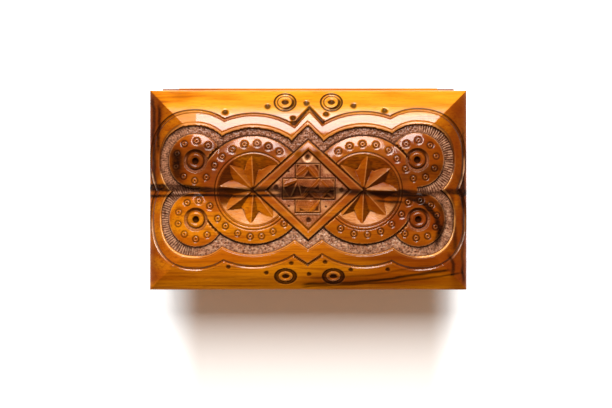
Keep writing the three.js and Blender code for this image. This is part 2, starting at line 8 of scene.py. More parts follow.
import bpy
import numpy as np
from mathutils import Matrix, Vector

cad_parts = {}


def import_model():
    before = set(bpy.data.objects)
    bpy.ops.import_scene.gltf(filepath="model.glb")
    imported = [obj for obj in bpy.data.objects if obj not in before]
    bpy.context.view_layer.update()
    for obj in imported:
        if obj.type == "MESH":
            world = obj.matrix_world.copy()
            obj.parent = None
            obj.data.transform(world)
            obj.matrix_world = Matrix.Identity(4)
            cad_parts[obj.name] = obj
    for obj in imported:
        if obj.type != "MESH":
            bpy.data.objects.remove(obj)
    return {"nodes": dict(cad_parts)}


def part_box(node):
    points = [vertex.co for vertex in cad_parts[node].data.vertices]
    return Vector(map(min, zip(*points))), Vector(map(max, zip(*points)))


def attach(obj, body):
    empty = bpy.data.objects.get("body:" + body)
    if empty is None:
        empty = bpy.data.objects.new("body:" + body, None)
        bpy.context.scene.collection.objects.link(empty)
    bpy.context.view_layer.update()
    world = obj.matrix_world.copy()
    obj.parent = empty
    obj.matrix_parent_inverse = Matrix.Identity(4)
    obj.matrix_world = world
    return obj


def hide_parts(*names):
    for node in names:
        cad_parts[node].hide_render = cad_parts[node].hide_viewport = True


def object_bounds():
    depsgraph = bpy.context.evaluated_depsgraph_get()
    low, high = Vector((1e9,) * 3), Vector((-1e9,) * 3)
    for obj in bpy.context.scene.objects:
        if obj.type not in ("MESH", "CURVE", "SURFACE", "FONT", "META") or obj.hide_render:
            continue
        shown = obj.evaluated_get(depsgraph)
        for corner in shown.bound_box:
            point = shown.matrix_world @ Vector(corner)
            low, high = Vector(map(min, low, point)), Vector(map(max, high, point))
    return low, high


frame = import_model()
cad_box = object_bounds()

MM = 0.001

# Lid
RIM_HEIGHT = 4.5
CROWN_RISE = 10.5
CROWN_RUN = 24.0
ARRIS = 0.5  # rounding of the lid's edges
RUBBED_LINE = -55.6  # the varnish of the back left corner is rubbed thin to the left of here, and that patch is painted paler as a weak sheen

# Relief
GRID = 0.25  # spacing of the lid's points
FIELD_DEPTH = 2.2
LINE_WIDTH = 1.6  # incised line round the field
LINE_DEPTH = 0.75
OVERLAP_DEPTH = 1.2  # where one raised form lies over others
ROUNDEL_RADIUS = 13.6
RING_RADIUS = 27.0
STAR_RADIUS = 17.4
FLATTENING_POWER = 2.3
SHOULDER = 6.0  # width of a disc's outer part, which rounds over
SHOULDER_DROP = 0.95
DISC_STEEPNESS = 4.5  # how steeply its edge then drops
STROKES = 87  # chisel strokes in a full turn round a roundel
PIT_SPACING = 1.05  # of the punched ground
STITCH = 1.35  # spacing of the small cuts across a gable's line
BEAD = 1.9  # spacing of the beads along a ring's edge

# Middles of the round motifs, and half width and half height of the rhombi
ROUNDELS = [(-56.4, 14.4), (-56.2, -14.8), (54.4, 15.0), (54.9, -14.75)]
RINGS = [(-27.4, -0.05), (27.6, -0.05)]
DIAMOND = (27.5, 24.85)
WELL = (21.2, 20.4)  # sunk inside the diamond's frame

# Scalloped outlines. The lobes round the roundels are drawn in towards the lid's left and right
# edges, and the left ring's lobe is nearer at the back. A gable has an apex and a slope.
FIELD_OUTLINE = {
    "roundel": 19.6, "ring": 33.2, "gables": [(-0.3, 34.6, 1.0), (-0.1, -30.7, 0.69)],
    "drawn_in": (0.95, 0.985), "nearer": 0.4,
}
CONTOUR_OUTLINE = {
    "roundel": 25.0, "ring": 38.6, "gables": [(0.6, 40.2, 1.13), (-0.4, -37.4, 0.66)],
    "drawn_in": (0.90, 0.965), "nearer": 0.8,
}

# Round cuts: distances from the middle, and heights there
BOSS_PROFILE = (
    [0, 1.0, 1.5, 1.9, 3.0, 3.8, 4.2, 4.6, 4.9, 5.6, 5.85],
    [-3.0, -2.4, -0.9, -0.45, -0.02, -0.45, -1.2, -1.25, -1.05, -0.4, 0],
)
PUNCH_PROFILE = (
    [0, 0.3, 0.6, 0.85, 1.1, 1.5, 1.75, 2.3, 2.45],
    [-0.6, -0.5, -0.1, -0.03, -0.12, -0.5, -0.26, -0.04, 0],
)
EYE_PROFILE = (
    [0, 1.4, 1.9, 2.3, 3.0, 3.4, 3.9, 4.3, 4.7, 5.2, 5.9],
    [-1.5, -1.0, -0.3, -0.06, 0, -0.15, -0.85, -0.5, -0.35, -0.75, 0],
)

# Rows of punches: radius, first and last angle, and count
ROUNDEL_PUNCHES = [(9.9, 50, 305, 8), (9.5, 43, 307, 8), (9.6, 124, -102, 7), (9.6, -133, 121, 8)]
RING_PUNCHES = [
    [(23.0, 148.4, 55, 7), (23.1, 217.7, 312, 7)],
    [(23.1, 123, 26, 7), (22.4, -120, -32, 6)],
]
PETALS = [  # angles of each star's ridges
    [2, 47, 93, 133, 173.6, 216.7, 265.7, 306],
    [-1, 39, 83.4, 132, 180, 229, 267.7, 312.3],
]
RING_GROOVES = [(19.4, 0.95, 1.0), (17.95, 0.65, 0.85)]  # radius, width and darkness

# Eye rings: middle, half width and half height. Dots: middle, radius and depth
EYES = [
    (-11.6, 44.0, 5.8, 4.8), (11.6, 44.0, 5.8, 4.8), (-11.4, -43.4, 5.6, 4.0), (12.6, -43.4, 5.6, 4.0),
]
DIAMOND_DOTS = [
    (-0.3, 16.6, 1.35, 1.0), (-16.1, 1.4, 1.5, 0.9), (16.6, -0.1, 1.4, 0.9), (0.1, -15.0, 1.6, 1.0),
    (-9.9, 9.2, 0.7, 0.35), (-9.7, -8.1, 0.7, 0.35), (8.8, -8.4, 0.7, 0.35),
]
BEVEL_DOTS = [
    (-41.6, 38.8, 2.0), (-20.4, 41.7, 2.0), (-0.9, 43.4, 2.0), (22.7, 42.1, 2.0), (38.2, 39.6, 2.0),
    (-40.0, -38.5, 1.5), (-21.0, -41.6, 1.5), (-8.5, -36.7, 1.5), (0.4, -42.3, 1.5),
    (8.4, -36.1, 1.5), (21.3, -40.0, 1.5), (39.8, -39.9, 1.5),
    (-7.6, 35.9, 1.9), (-7.3, 33.4, 1.9), (8.9, 37.9, 1.9),
]

# The diamond's cross: boxes (left, right, bottom, top), triangular chips, and leaves with their
# two ends and half width
CROSS_BOXES = [(-6.5, 5.9, 5.7, 13.1), (-12.9, 13.4, -4.7, 5.8), (-6.6, 5.9, -11.4, -4.7)]
CROSS_CHIPS = [
    [(-2.7, 6.0), (0.0, 9.9), (2.9, 6.0)],
    [(-6.2, 12.8), (-3.4, 12.8), (-6.2, 9.6)],
    [(5.6, 12.8), (2.4, 12.8), (5.6, 8.0)],
    [(-6.2, 8.0), (-6.2, 6.1), (-4.5, 6.1)],
    [(-12.5, 1.2), (-5.2, 4.6), (-9.3, -4.2)],
    [(-5.3, 4.4), (-3.2, -3.4), (-8.7, -4.0)],
    [(-4.8, 2.8), (-0.3, 1.3), (-3.3, -3.2)],
    [(-2.5, -4.5), (0.3, -1.2), (4.0, -4.5)],
    [(2.4, 0.0), (5.6, 3.6), (5.6, -1.0)],
    [(7.8, -0.2), (13.2, 0.0), (13.2, -4.2)],
    [(7.8, -0.6), (12.6, -4.4), (7.4, -4.4)],
    [(10.6, 5.5), (13.2, 5.5), (13.2, 2.9)],
    [(-6.3, -5.1), (-4.9, -5.1), (-6.3, -10.4)],
    [(5.6, -6.3), (5.6, -11.0), (2.0, -11.0)],
    [(-4.6, -11.0), (-0.4, -11.0), (-4.6, -8.6)],
]
CROSS_LEAVES = [
    ((-5.9, 7.3), (-0.3, 11.9), 1.7),
    ((-0.1, 11.9), (4.7, 6.1), 1.7),
    ((-12.3, 2.8), (-5.6, 5.2), 1.5),
    ((5.7, 5.7), (1.4, 1.4), 1.0),
    ((1.5, 1.6), (-3.0, -3.8), 0.8),
    ((11.2, 0.8), (6.1, -4.1), 0.9),
    ((6.3, 5.0), (10.4, 1.0), 0.9),
    ((5.8, -5.0), (0.4, -10.9), 1.0),
    ((1.6, -0.6), (5.0, -3.4), 0.8),
]
CHIP_DEPTH = 1.2

# Dark heart of the wood: streaks along x, each with its points, width and strength
HEART = [
    ([(-80, 1.0), (-60, 0.6), (-50, 0.0), (-40, -0.1), (-28, 0.0), (-8, 0.4), (12, 0.2)], 1.5, 1.0),
    ([(12, 0.2), (22, -0.5), (30, -1.4), (38, -2.0), (47, -1.8)], 1.8, 1.0),
    ([(-80, -3.1), (-45, -3.0), (-20, -2.7), (-8, -2.9)], 0.9, 1.0),
    ([(-14, -1.4), (0, -1.6), (14, -1.5)], 2.9, 0.85),
    ([(46, -1.8), (51, -3.6), (57, -6.5), (61, -10)], 1.7, 0.95),
    ([(46, -1.0), (58, -1.8), (72, -1.0), (80, -1.4)], 1.5, 0.9),
    ([(52, -4.6), (58, -4.2), (63, -6.0), (66, -9.0)], 2.2, 0.6),
    ([(47, 8), (68, 9)], 4.0, 0.3),
    ([(57, 9.5), (66, 11.5)], 2.2, 0.35),
    ([(43, 3.5), (49, 5)], 3.2, 0.3),
    ([(47, -8.5), (60, -11)], 3.0, 0.2),
    ([(-56, 20), (-44, 21)], 2.4, 0.35),
    ([(-70, 15), (-46, 13)], 6.0, 0.25),
    ([(-80, 0.9), (-62, 0.5), (-50, -0.2)], 2.0, 0.6),
    ([(34, -5.2), (40, -6.0), (47, -6.4)], 0.7, 0.9),
    ([(-2, -47.6), (30, -46), (70, -40.2)], 0.7, 0.9),
    ([(-2, -49), (40, -46.5), (76, -42)], 0.5, 0.7),
    ([(2, -44.5), (30, -43), (60, -38)], 0.5, 0.45),
    ([(-37, 19.5), (-20, 19.5)], 2.5, 0.18),
    ([(-68, 38.4), (-59, 38.4)], 2.0, 0.12),
]
# The same along y, so that a point is y and x
HEART_UPRIGHT = [
    ([(-26, 64.4), (-20, 66), (-14, 64), (-9, 60.2)], 1.6, 0.95),
    ([(-16, 67.6), (-5, 67.0)], 1.8, 0.55),
    ([(-8, 77.6), (7, 76.6)], 2.2, 0.5),
    ([(5, -65), (20, -66.5)], 3.0, 0.75),
    ([(4, -77.4), (26, -77.9), (46, -78.2)], 1.1, 0.8),
    ([(20, -75.6), (30, -75.0), (42, -75.2)], 1.0, 0.85),
    ([(-30, 63), (-24, 66), (-16, 68.5)], 1.2, 0.7),
    ([(-30, 74), (-4, 72)], 1.2, 0.7),
    ([(-42, 72.4), (-37, 72.8), (-33, 71.0)], 1.0, 0.85),
    ([(-46, 78.2), (-40, 77.4)], 0.9, 0.8),
    ([(-12, 42.5), (-3, 43.5)], 2.5, 0.4),
    ([(-40, 77.8), (30, 78)], 0.8, 0.65),
]

# Patches of redder wood, or of paler wood below 0: middle, reach along x and y, and strength
RED_PATCHES = [
    (-66, 13, 8, 11, 1.0), (-50, 18, 9, 6, 0.45), (-46, 0, 7, 9, 0.8), (-27, 6, 14, 10, 0.25),
    (54, 15, 15, 14, 0.8), (44, -5, 8, 9, 0.7), (27, 4, 12, 14, 0.3), (58, -12, 12, 13, 0.6),
    (24, -22, 16, 8, 0.35), (36, -34, 26, 4, 0.5), (62, -36, 14, 6, 0.4), (-78, 34, 4, 24, 1.0),
    (-79, 0, 3, 14, 0.4), (-78, -34, 4, 14, 0.7), (77, -30, 6, 24, 0.9), (77, 20, 6, 24, 0.7),
    (0, -46, 90, 3.5, 0.35), (30, -46, 40, 4, 0.25), (0, 3, 17, 14, 0.5), (0, 10, 62, 8, 0.4),
    (-5, -4, 50, 6, 0.35), (42, -8, 24, 10, 0.6), (40, -34, 40, 14, 0.35), (-64, 12, 5, 8, 0.7),
    (-48, 12, 5, 6, 0.4), (56, 6, 12, 8, 0.6), (66, -13, 5, 9, 0.8), (-44, 16, 6, 5, 0.4),
    (-10, -20, 60, 8, 0.25), (48, -26, 16, 8, 0.3), (8, -20, 10, 8, 0.3), (74, -5, 3, 6, -0.7),
    (78.5, 24, 2, 9, -0.5), (-76, -16, 4, 10, -0.3), (46, 2, 6, 7, 0.5), (-13, -14, 7, 6, 0.35),
    (56, 12, 12, 12, 0.5), (60, -10, 9, 10, 0.4), (-50, 14, 8, 9, 0.5), (-66, 47, 10, 3, 0.9),
    (54, 16, 12, 10, 0.4), (-50, 16, 8, 8, 0.4), (-20, 22, 16, 4, 0.4), (-80, 36, 7, 12, 0.6),
    (-8, 20, 40, 3, 0.3), (34, 0, 30, 4, 0.3), (47, -8, 6, 12, 0.3),
]

rng = np.random.default_rng(7)


# Fields of numbers over the lid


def unit(value):
    return np.clip(value, 0, 1)


def ramp(low, high, value):
    """0 below low, 1 above high, and a smooth rise between; high may be the smaller one."""
    share = unit((value - low) / (high - low))
    return share * share * (3 - 2 * share)


def noise(x, y, size_x, size_y, seed):
    """Smooth noise from -1 to 1, whose patches are size_x by size_y millimetres."""
    cells = np.random.default_rng(seed).uniform(-1, 1, (128, 128))
    u, v = x / size_x + 40.5, y / size_y + 40.5
    i, j = np.floor(u).astype(int), np.floor(v).astype(int)
    s, t = ramp(0, 1, u - i), ramp(0, 1, v - j)
    i0, i1, j0, j1 = i % 128, (i + 1) % 128, j % 128, (j + 1) % 128
    low = cells[j0, i0] * (1 - s) + cells[j0, i1] * s
    high = cells[j1, i0] * (1 - s) + cells[j1, i1] * s
    return low * (1 - t) + high * t


def vee(distance, width, depth=1):
    """Depth of a V-shaped groove whose middle is where distance is 0."""
    return depth * unit(1 - np.abs(distance) / (width / 2))


def blurred(values, reach):
    """Values averaged over a soft spot, whose size is given in millimetres."""
    rows, columns = values.shape
    pad = int(4 * reach / GRID)
    padded = np.pad(values, pad, mode="edge")
    fy = np.fft.fftfreq(padded.shape[0], GRID)[:, None]
    fx = np.fft.rfftfreq(padded.shape[1], GRID)[None, :]
    filtered = np.fft.rfft2(padded) * np.exp(-2 * (np.pi * reach) ** 2 * (fx * fx + fy * fy))
    smooth = np.fft.irfft2(filtered, padded.shape)
    return smooth[pad:pad + rows, pad:pad + columns]


def more(field, *amounts, area=...):
    """Raises a field to each amount, where it is less."""
    for amount in amounts:
        field[area] = np.maximum(field[area], amount)


def fill(field, where, value):
    """Sets a field to a value, where a condition holds."""
    np.copyto(field, value, where=where)


class Relief:
    """The lid's carved top, and fields that say how its varnish and wood look.

    cut is the carving, from the smooth top. stain is dirt and dye in the cuts, and painted shade as
    well; ground is the punched and greyed wood, and painted grey sheen as well; worn is where
    handling has rubbed it paler, and painted highlights as well; dull is where the varnish shines
    less, and calm is where edges aren't rubbed paler."""

    def __init__(self, width, depth):
        columns, rows = round(width / GRID) + 1, round(depth / GRID) + 1
        self.width, self.depth = width, depth
        self.x, self.y = np.meshgrid(
            np.linspace(-width / 2, width / 2, columns), np.linspace(-depth / 2, depth / 2, rows)
        )
        self.side = np.abs(self.x)
        for name in ("cut", "stain", "ground", "worn", "dull", "calm"):
            setattr(self, name, np.zeros_like(self.x))

    def top(self):
        """The smooth top: a square rim and four mitred bevels that curve up to the crown."""
        from_edge = np.minimum(self.width / 2 - self.side, self.depth / 2 - np.abs(self.y))
        share = unit(from_edge / CROWN_RUN)
        height = RIM_HEIGHT + CROWN_RISE * (1 - (1 - share) ** 2)
        inset = unit(1 - from_edge / ARRIS)
        return height - ARRIS * (1 - np.sqrt(1 - inset * inset))

    def noise(self, size_x, size_y, seed):
        return noise(self.x, self.y, size_x, size_y, seed)

    def put(self, where, **values):
        """Sets fields to values, where a condition holds."""
        for name, value in values.items():
            fill(getattr(self, name), where, value)

    def window(self, x, y, reach):
        """The slices that hold a circle, and its points' offsets from the middle."""
        column = slice(*np.searchsorted(self.x[0], [x - reach, x + reach]))
        row = slice(*np.searchsorted(self.y[:, 0], [y - reach, y + reach]))
        return (row, column), self.x[row, column] - x, self.y[row, column] - y

    def polar(self, x, y):
        dx, dy = self.x - x, self.y - y
        return np.hypot(dx, dy), np.arctan2(dy, dx)

    def lobes(self, roundel, ring, gables, drawn_in, nearer):
        """Distance outside a scalloped outline: six lobes and two gables."""
        distances = []
        for x, y in ROUNDELS:
            radius, angle = self.polar(x, y)
            cos, sin = np.cos(angle), np.sin(angle)
            across = np.abs(cos) / (drawn_in[0] if x < 0 else drawn_in[1])
            bulge = across ** FLATTENING_POWER + np.abs(sin) ** FLATTENING_POWER
            share = np.where(cos * np.sign(x) > 0, bulge ** (-1 / FLATTENING_POWER), 1)
            distances.append(radius - roundel * share)
        for x, y in RINGS:
            left_back = nearer * ramp(0, 12, self.y) * (x < 0)
            distances.append(self.polar(x, y)[0] - ring + left_back)
        for x, y, slope in gables:
            beyond = (slope * np.abs(self.x - x) + (self.y - y) * np.sign(y)) / math.hypot(1, slope)
            distances.append(np.maximum(beyond, -self.y * np.sign(y)))
        return np.min(distances, axis=0)

    def groove(self, distance, width, depth, stain=1.0):
        self.cut -= vee(distance, width, depth)
        more(self.stain, stain * vee(distance, width))

    def field(self):
        """The sunk field: a chamfer round it, widest at the back, and then a steep drop."""
        y, side = self.y, self.side
        edge = self.lobes(**FIELD_OUTLINE)
        inside = -edge
        slope_y, slope_x = np.gradient(edge, GRID)
        facing = slope_y / np.maximum(np.hypot(slope_x, slope_y), 0.1)
        at_back, at_front = unit(facing), unit(-facing)
        low_sides = ramp(50, 57, side) * ramp(-10, -15, y)
        width = 0.75 + 1.35 * at_back + 0.35 * at_front + 0.45 * low_sides
        ragged = inside + 0.22 * self.noise(0.9, 0.9, 5) * at_back
        drop = unit((ragged / width - 0.76) / 0.24)
        chamfer = (0.52 - 0.42 * at_back) * np.clip(inside, 0, None)
        self.cut -= (1 - drop) * chamfer + drop * FIELD_DEPTH + vee(inside - 0.15, 0.7, 0.22)
        self.put(drop > 0.9, ground=1)

        # Painted highlights: the chamfer is painted paler on the right, on the low sides and at the back.
        far_side = ramp(62, 66, side)
        pale = far_side * ramp(-0.5, 1, y) * ramp(11, 7, y)
        more(pale, 0.35 * ramp(52, 60, side) * ramp(-1, -3, y), low_sides)
        on_chamfer = ramp(0.1, 0.35, inside) * ramp(0.3, 0.1, drop)
        more(self.worn, on_chamfer * np.maximum(1.5 * pale, 0.55 * at_back))
        # A dark line on the far right's chamfer, a thin line at the edge, and painted shade at the foot
        # of the drop, heaviest at the back, where the wall shades the ground.
        more(
            self.stain,
            0.9 * vee(inside - 0.5, 1.5) * far_side * ramp(7, 9, y),
            0.5 * vee(inside - 0.15, 0.7),
            (0.55 + 0.4 * at_back) * vee(ragged - 0.97 * width, 1.0),
        )
        more(self.dull, np.clip(1.5 * vee(inside - 0.35, 1.3), 0, 0.9) * at_back)

    def contour(self):
        """The incised line round the field: a groove with a dark lip on each side.

        Where it runs up and down, it is painted pale and grey in some stretches, as a highlight, and dark
        in others."""
        y, right = self.y, self.x > 0
        line = self.lobes(**CONTOUR_OUTLINE)
        self.cut -= vee(line, LINE_WIDTH, LINE_DEPTH)
        stitched = (np.abs(self.x + 0.4) < 6.8) & (y < -32.5)
        faint = 1 - 0.6 * ramp(-15, -28, y) - 0.4 * stitched
        more(
            self.stain,
            faint * np.clip(1.5 * vee(line - 0.8, 0.95), 0, 0.95),
            np.clip(1.2 * vee(line + 0.74, 0.7), 0, 0.85) * ~stitched,
        )
        # Painted highlight: stretches of the upright line are painted pale and grey.
        upright = ramp(0.5, 0.9, np.abs(np.gradient(line, GRID, axis=1)))
        beside = vee(line, 1.4) * upright
        pale = ramp(0.5, 2.5, y) * np.where(right, ramp(18, 14, y), ramp(10, 7, y))
        pale += np.where(right, 0.4 * ramp(-11, -15, y), 0.9 * ramp(-13, -18, y))
        more(self.stain, np.where(right, 0.75, 0.2 * (y > 0)) * beside * (1 - unit(pale)))
        more(self.worn, 1.5 * beside * pale)
        more(self.ground, 0.6 * unit(beside * pale))
        self.chevrons(line, stitched)
        self.satin_front(line)

    def chevrons(self, line, near_front):
        """The gables' lines are broader and stitched: crossed by small cuts."""
        near_back = (np.abs(self.x - 0.6) < 7.4) & (self.y > 31.5)
        along = (self.x + self.y * np.sign(self.x)) / STITCH
        stitches = 0.5 + 0.5 * np.cos(2 * np.pi * along)
        back = near_back * unit(1.6 * vee(line - 0.75, 2.3))
        front = near_front * vee(line - 0.1, 1.9) * (0.3 + 0.7 * stitches)
        self.cut -= back * (0.3 + 0.4 * stitches) + 0.3 * front
        more(self.stain, unit(1.2 * back * (0.75 + 0.25 * stitches)), unit(2.4 * front))

    def satin_front(self, line):
        """The front bevel's varnish is satin, in streaks, but for the edges of the incised line."""
        from_front, from_side = self.depth / 2 + self.y, self.width / 2 - self.side
        satin = ramp(20, 15, from_front) * ramp(-0.3, 0.3, from_side - from_front)
        satin *= ramp(0.8, 1.5, np.abs(line)) * (0.72 + 0.3 * self.noise(22, 1.6, 55))
        more(self.dull, satin)

    def stipple(self):
        """The ground is punched all over, with short chisel strokes square to its edge."""
        texture = np.zeros_like(self.x)
        for row in np.arange(-self.depth / 2, self.depth / 2, PIT_SPACING):
            for column in np.arange(-self.width / 2, self.width / 2, PIT_SPACING):
                x, y = column + rng.uniform(-0.4, 0.4), row + rng.uniform(-0.4, 0.4)
                area, dx, dy = self.window(x, y, 1.0)
                if dx.size and self.ground[area].max() > 0:
                    reach = rng.uniform(0.5, 0.85)
                    pit = rng.uniform(0.1, 1.0) * unit(1 - (dx * dx + dy * dy) / reach ** 2)
                    more(texture, pit, area=area)
        strokes, share = np.zeros_like(self.x), np.zeros_like(self.x)
        for x, y in ROUNDELS:
            radius, angle = self.polar(x, y)
            wave = np.cos(STROKES * angle + 2.5 * self.noise(6, 6, 11))
            wave = np.clip(wave + 0.9 * self.noise(1.3, 1.3, 51), -1, 1)
            here = ramp(13.9, 14.6, radius) * ramp(19.2, 18.2, radius)
            here *= ramp(-2, 4, np.cos(angle) * np.sign(x) * radius)
            if (x < 0) == (y > 0):
                here *= 0.35  # these two are mostly punched
            more(strokes, here * (0.5 + 0.5 * wave))
            more(share, here)
        pits = texture * (1 - 0.7 * share) + strokes
        self.cut -= self.ground * 0.42 * pits
        more(self.stain, self.ground * np.clip(1.1 * pits - 0.25, 0, 0.75))
        # Cream between the chisel strokes, and a pale mottle, stronger towards the front, that is painted
        # sheen on the punched ground.
        cream = share * np.clip(0.8 - 1.6 * strokes, 0, 0.6)
        more(cream, (0.3 + 0.5 * self.noise(1.1, 0.9, 53)) * ramp(4, -12, self.y))
        more(self.worn, self.ground * cream)

    def raise_disc(self, x, y, reach, share=1.0):
        """Raises a disc whose outer part rounds over and then drops to the ground.

        Its foot is painted dark as shade, most on its front side, apart from where share says that it
        runs into another disc."""
        radius, angle = self.polar(x, y)
        over, edge = unit((radius - reach + SHOULDER) / SHOULDER), unit(radius - reach)
        top = -SHOULDER_DROP * over ** 2 - DISC_STEEPNESS * edge
        raised = top > self.cut
        self.put((radius < reach + 0.3) & raised, cut=top)
        self.put(radius < reach - 0.05, ground=0)
        self.put((radius < reach - 0.4) & raised, stain=0)
        self.put(radius < reach, worn=0)
        patchy = 0.36 - 0.28 * ramp(0.35, 0.75, (self.y - y) / reach)
        patchy += 0.14 * self.noise(5, 2.5, 41)
        if y < -1:
            patchy += 0.5 * ramp(-14, -4, self.y)
        self.put((radius < reach) & raised, dull=patchy)
        # Painted shade at the disc's foot, heaviest on its front side.
        foot = (0.55 + 0.4 * unit(-np.sin(angle))) * share
        more(self.stain, foot * vee(radius - reach - 0.3, 1.1))

    def boss(self, radius, angle):
        """A domed boss with a hole, in a dish. The dish is painted grey as a reflection, but for its
        back, which is painted dark as shade, as are the dome's left and lower side, the hole, and the
        grooves' lines at the back.
        """
        self.cut += np.interp(radius, *BOSS_PROFILE)
        back = ramp(0.2, 0.8, np.sin(angle))
        ball = ramp(4.3, 4.0, radius)
        dish = ramp(4.5, 4.8, radius) * ramp(5.9, 5.6, radius)
        self.put(radius < 5.4, stain=0)
        # Painted shade: the grooves' lines heavier at the back, the dish's back, the dome's left and
        # lower side, and the hole.
        more(
            self.stain,
            vee(radius - 5.75, 0.8) * (0.6 + 0.4 * back),
            unit(1.8 * vee(radius - 4.35, 1.0)) * (0.75 + 0.25 * np.cos(angle + 0.8)),
            0.85 * dish * back,
            0.35 * ramp(4.2, 2.6, radius) * unit(np.cos(angle + 2.3)),
            ramp(2.0, 1.5, radius),
        )
        # Painted reflection: the rest of the dish is greyed.
        more(self.ground, 0.6 * dish * (1 - back))
        self.put(radius < 5.6, dull=0.1 + 0.25 * ball)
        more(self.calm, ball)

    def punch(self, x, y, force):
        """One blow of a ring-and-dot punch, whose rim is pressed into a shallow dish."""
        area, dx, dy = self.window(x, y, 2.6)
        radius = np.hypot(dx, dy)
        self.cut[area] += force * np.interp(radius, *PUNCH_PROFILE)
        ring = np.clip(1.9 * vee(radius - 1.52, 1.05), 0, 0.95)
        dark = 0.85 * np.maximum(ring, 0.95 * ramp(0.65, 0.38, radius))
        self.stain[area] *= radius > 1.5
        more(self.stain, dark * force, area=area)
        self.dull[area] *= 0.35 + 0.65 * ramp(1.6, 2.6, radius)

    def punch_row(self, x, y, reach, first, last, count):
        """Punches round a circle, from one angle to another."""
        for angle in np.radians(np.linspace(first, last, count)):
            distance = reach + rng.uniform(-0.35, 0.35)
            turn = angle + rng.uniform(-0.02, 0.02)
            self.punch(x + distance * math.cos(turn), y + distance * math.sin(turn), rng.uniform(0.75, 1))

    def dot(self, x, y, size, depth=0.7):
        area, dx, dy = self.window(x, y, size)
        if abs(y) > 30:
            dy = dy * 1.2  # wider than high, like the cuts on a slope
        radius = np.hypot(dx, dy) / (size * (1 + 0.05 * np.cos(3 * np.arctan2(dy, dx) + x)))
        weave = 0.5 + 0.5 * np.cos(2.2 * np.pi * (dx + dy)) * np.cos(2.2 * np.pi * (dx - dy))
        self.cut[area] -= depth * unit(1 - radius) + 0.2 * weave * (radius < 0.8)
        more(self.stain, unit(2.6 * (1 - radius)) * (0.86 + 0.14 * weave), area=area)

    def eye(self, x, y, wide, high):
        """An eye ring on a bevel, seen foreshortened by the slope."""
        area, dx, dy = self.window(x, y, wide + 1)
        radius = np.hypot(dx, dy * wide / high)
        angle = np.arctan2(dy, dx)
        crescent = vee(radius - 4.0, 1.6, 0.5) * unit(np.cos(angle + 0.8))
        self.cut[area] += np.interp(radius, *EYE_PROFILE) - crescent
        if y > 0:
            lower = unit(ramp(0.1, 0.8, np.cos(angle + 0.75)) * vee(radius - 4.0, 2.2, 2.0))
        else:
            lower = 0.9 * ramp(3.9, 4.3, radius) * ramp(5.5, 5.2, radius)
        pupil = ramp(2.15, 1.75, radius + 0.55 * np.abs(np.sin(angle)))
        outer = unit(2.2 * vee(radius - 5.35, 1.3))
        inner = np.clip(1.3 * vee(radius - 3.85, 0.9), 0, 0.9)
        more(self.stain, outer, inner, lower, pupil, area=area)

    def roundel_marks(self):
        for (x, y), row in zip(ROUNDELS, ROUNDEL_PUNCHES):
            self.boss(*self.polar(x, y))
            self.punch_row(x, y, *row)

    def clear_round(self, distance, width, share=1.0):
        """A groove where one raised form lies over others."""
        near = (distance > -0.1) & (distance < width)
        self.put(near, cut=np.minimum(self.cut, -OVERLAP_DEPTH * share))
        more(self.stain, 0.9 * share * near)

    def rings(self):
        for (x, y), rows, turns in zip(RINGS, RING_PUNCHES, PETALS):
            radius, angle = self.polar(x, y)
            # The edge fades out in the middle, where ring and roundels run together
            share = ramp(0.48, 0.62, np.abs(np.sin(angle)))
            share = np.where(np.cos(angle) * np.sign(x) > 0, share, 1)
            self.clear_round(radius - RING_RADIUS, 0.9, share)
            uneven = 0.65 + 0.35 * self.noise(1.6, 1.6, 43)
            beads = uneven * (0.5 + 0.5 * np.cos(angle * RING_RADIUS * 2 * np.pi / BEAD)) * share
            beads *= (radius > RING_RADIUS) & (radius < RING_RADIUS + 1.3) & (self.ground < 0.5)
            self.cut -= 0.6 * beads
            more(self.stain, 0.85 * beads)
            self.raise_disc(x, y, RING_RADIUS, share)
            lower = self.polar(x, y - 0.5)[0]
            for reach, width, darkness in RING_GROOVES:
                self.groove(lower - reach, width, 0.4, darkness)
            self.star(x, y, radius, np.radians(turns))
            for row in rows:
                self.punch_row(x, y, *row)

    def star(self, x, y, radius, turns):
        """Eight ridges that meet in a pit, with a sloping chip at the rim between each two.

        A petal's flank is steeper where it looks to the right or to the front, and painted darker there
        as shade. The crests and the flanks that look to the back are painted paler as highlights, the
        chips at the back and the hollows by the tips are painted dark as shade, and the chips at the
        front pale as sheen."""
        dx, dy = self.x - x, self.y - y
        ridge_top = np.interp(radius, [0, 1.2, 3.5, 9, STAR_RADIUS], [-1.9, -1.1, -0.4, -0.1, -0.35])
        half = np.interp(radius, [0, 10.2, 10.9, STAR_RADIUS], [9, 9, 3.9, 1.35])
        height = np.where(radius > 8.5, -0.2 - 0.42 * (STAR_RADIUS - radius), -9)
        chip = np.ones_like(radius)
        shade, crest, lit = (np.zeros_like(radius) for _ in range(3))
        for turn in turns:
            along = dx * np.cos(turn) + dy * np.sin(turn)
            across = dy * np.cos(turn) - dx * np.sin(turn)
            aside = np.abs(across)
            to_right = -np.sign(across) * np.sin(turn)
            to_front = -np.sign(across) * np.cos(turn)
            slope = 0.58 + 0.16 * to_right + 0.04 * to_front
            ridge = ridge_top - slope * aside - 3.2 * np.clip(aside - half, 0, 9)
            ridge = np.where(along > 0, ridge, -9)
            upper = ridge > height
            # Painted shade on flanks that look to the right or the front, and painted highlights on
            # crests and on flanks that look to the back.
            dark = unit(0.1 + 0.55 * to_right + 0.45 * to_front) * ramp(0.1, 0.4, aside)
            fill(chip, upper, 0)
            fill(shade, upper, dark)
            fill(crest, upper, ramp(0.36, 0.08, aside) * ramp(1.5, 3, radius))
            fill(lit, upper, 0.4 * unit(-to_front) ** 3 * ramp(3.5, 0, aside))
            more(height, ridge)
        more(height, -3.2)
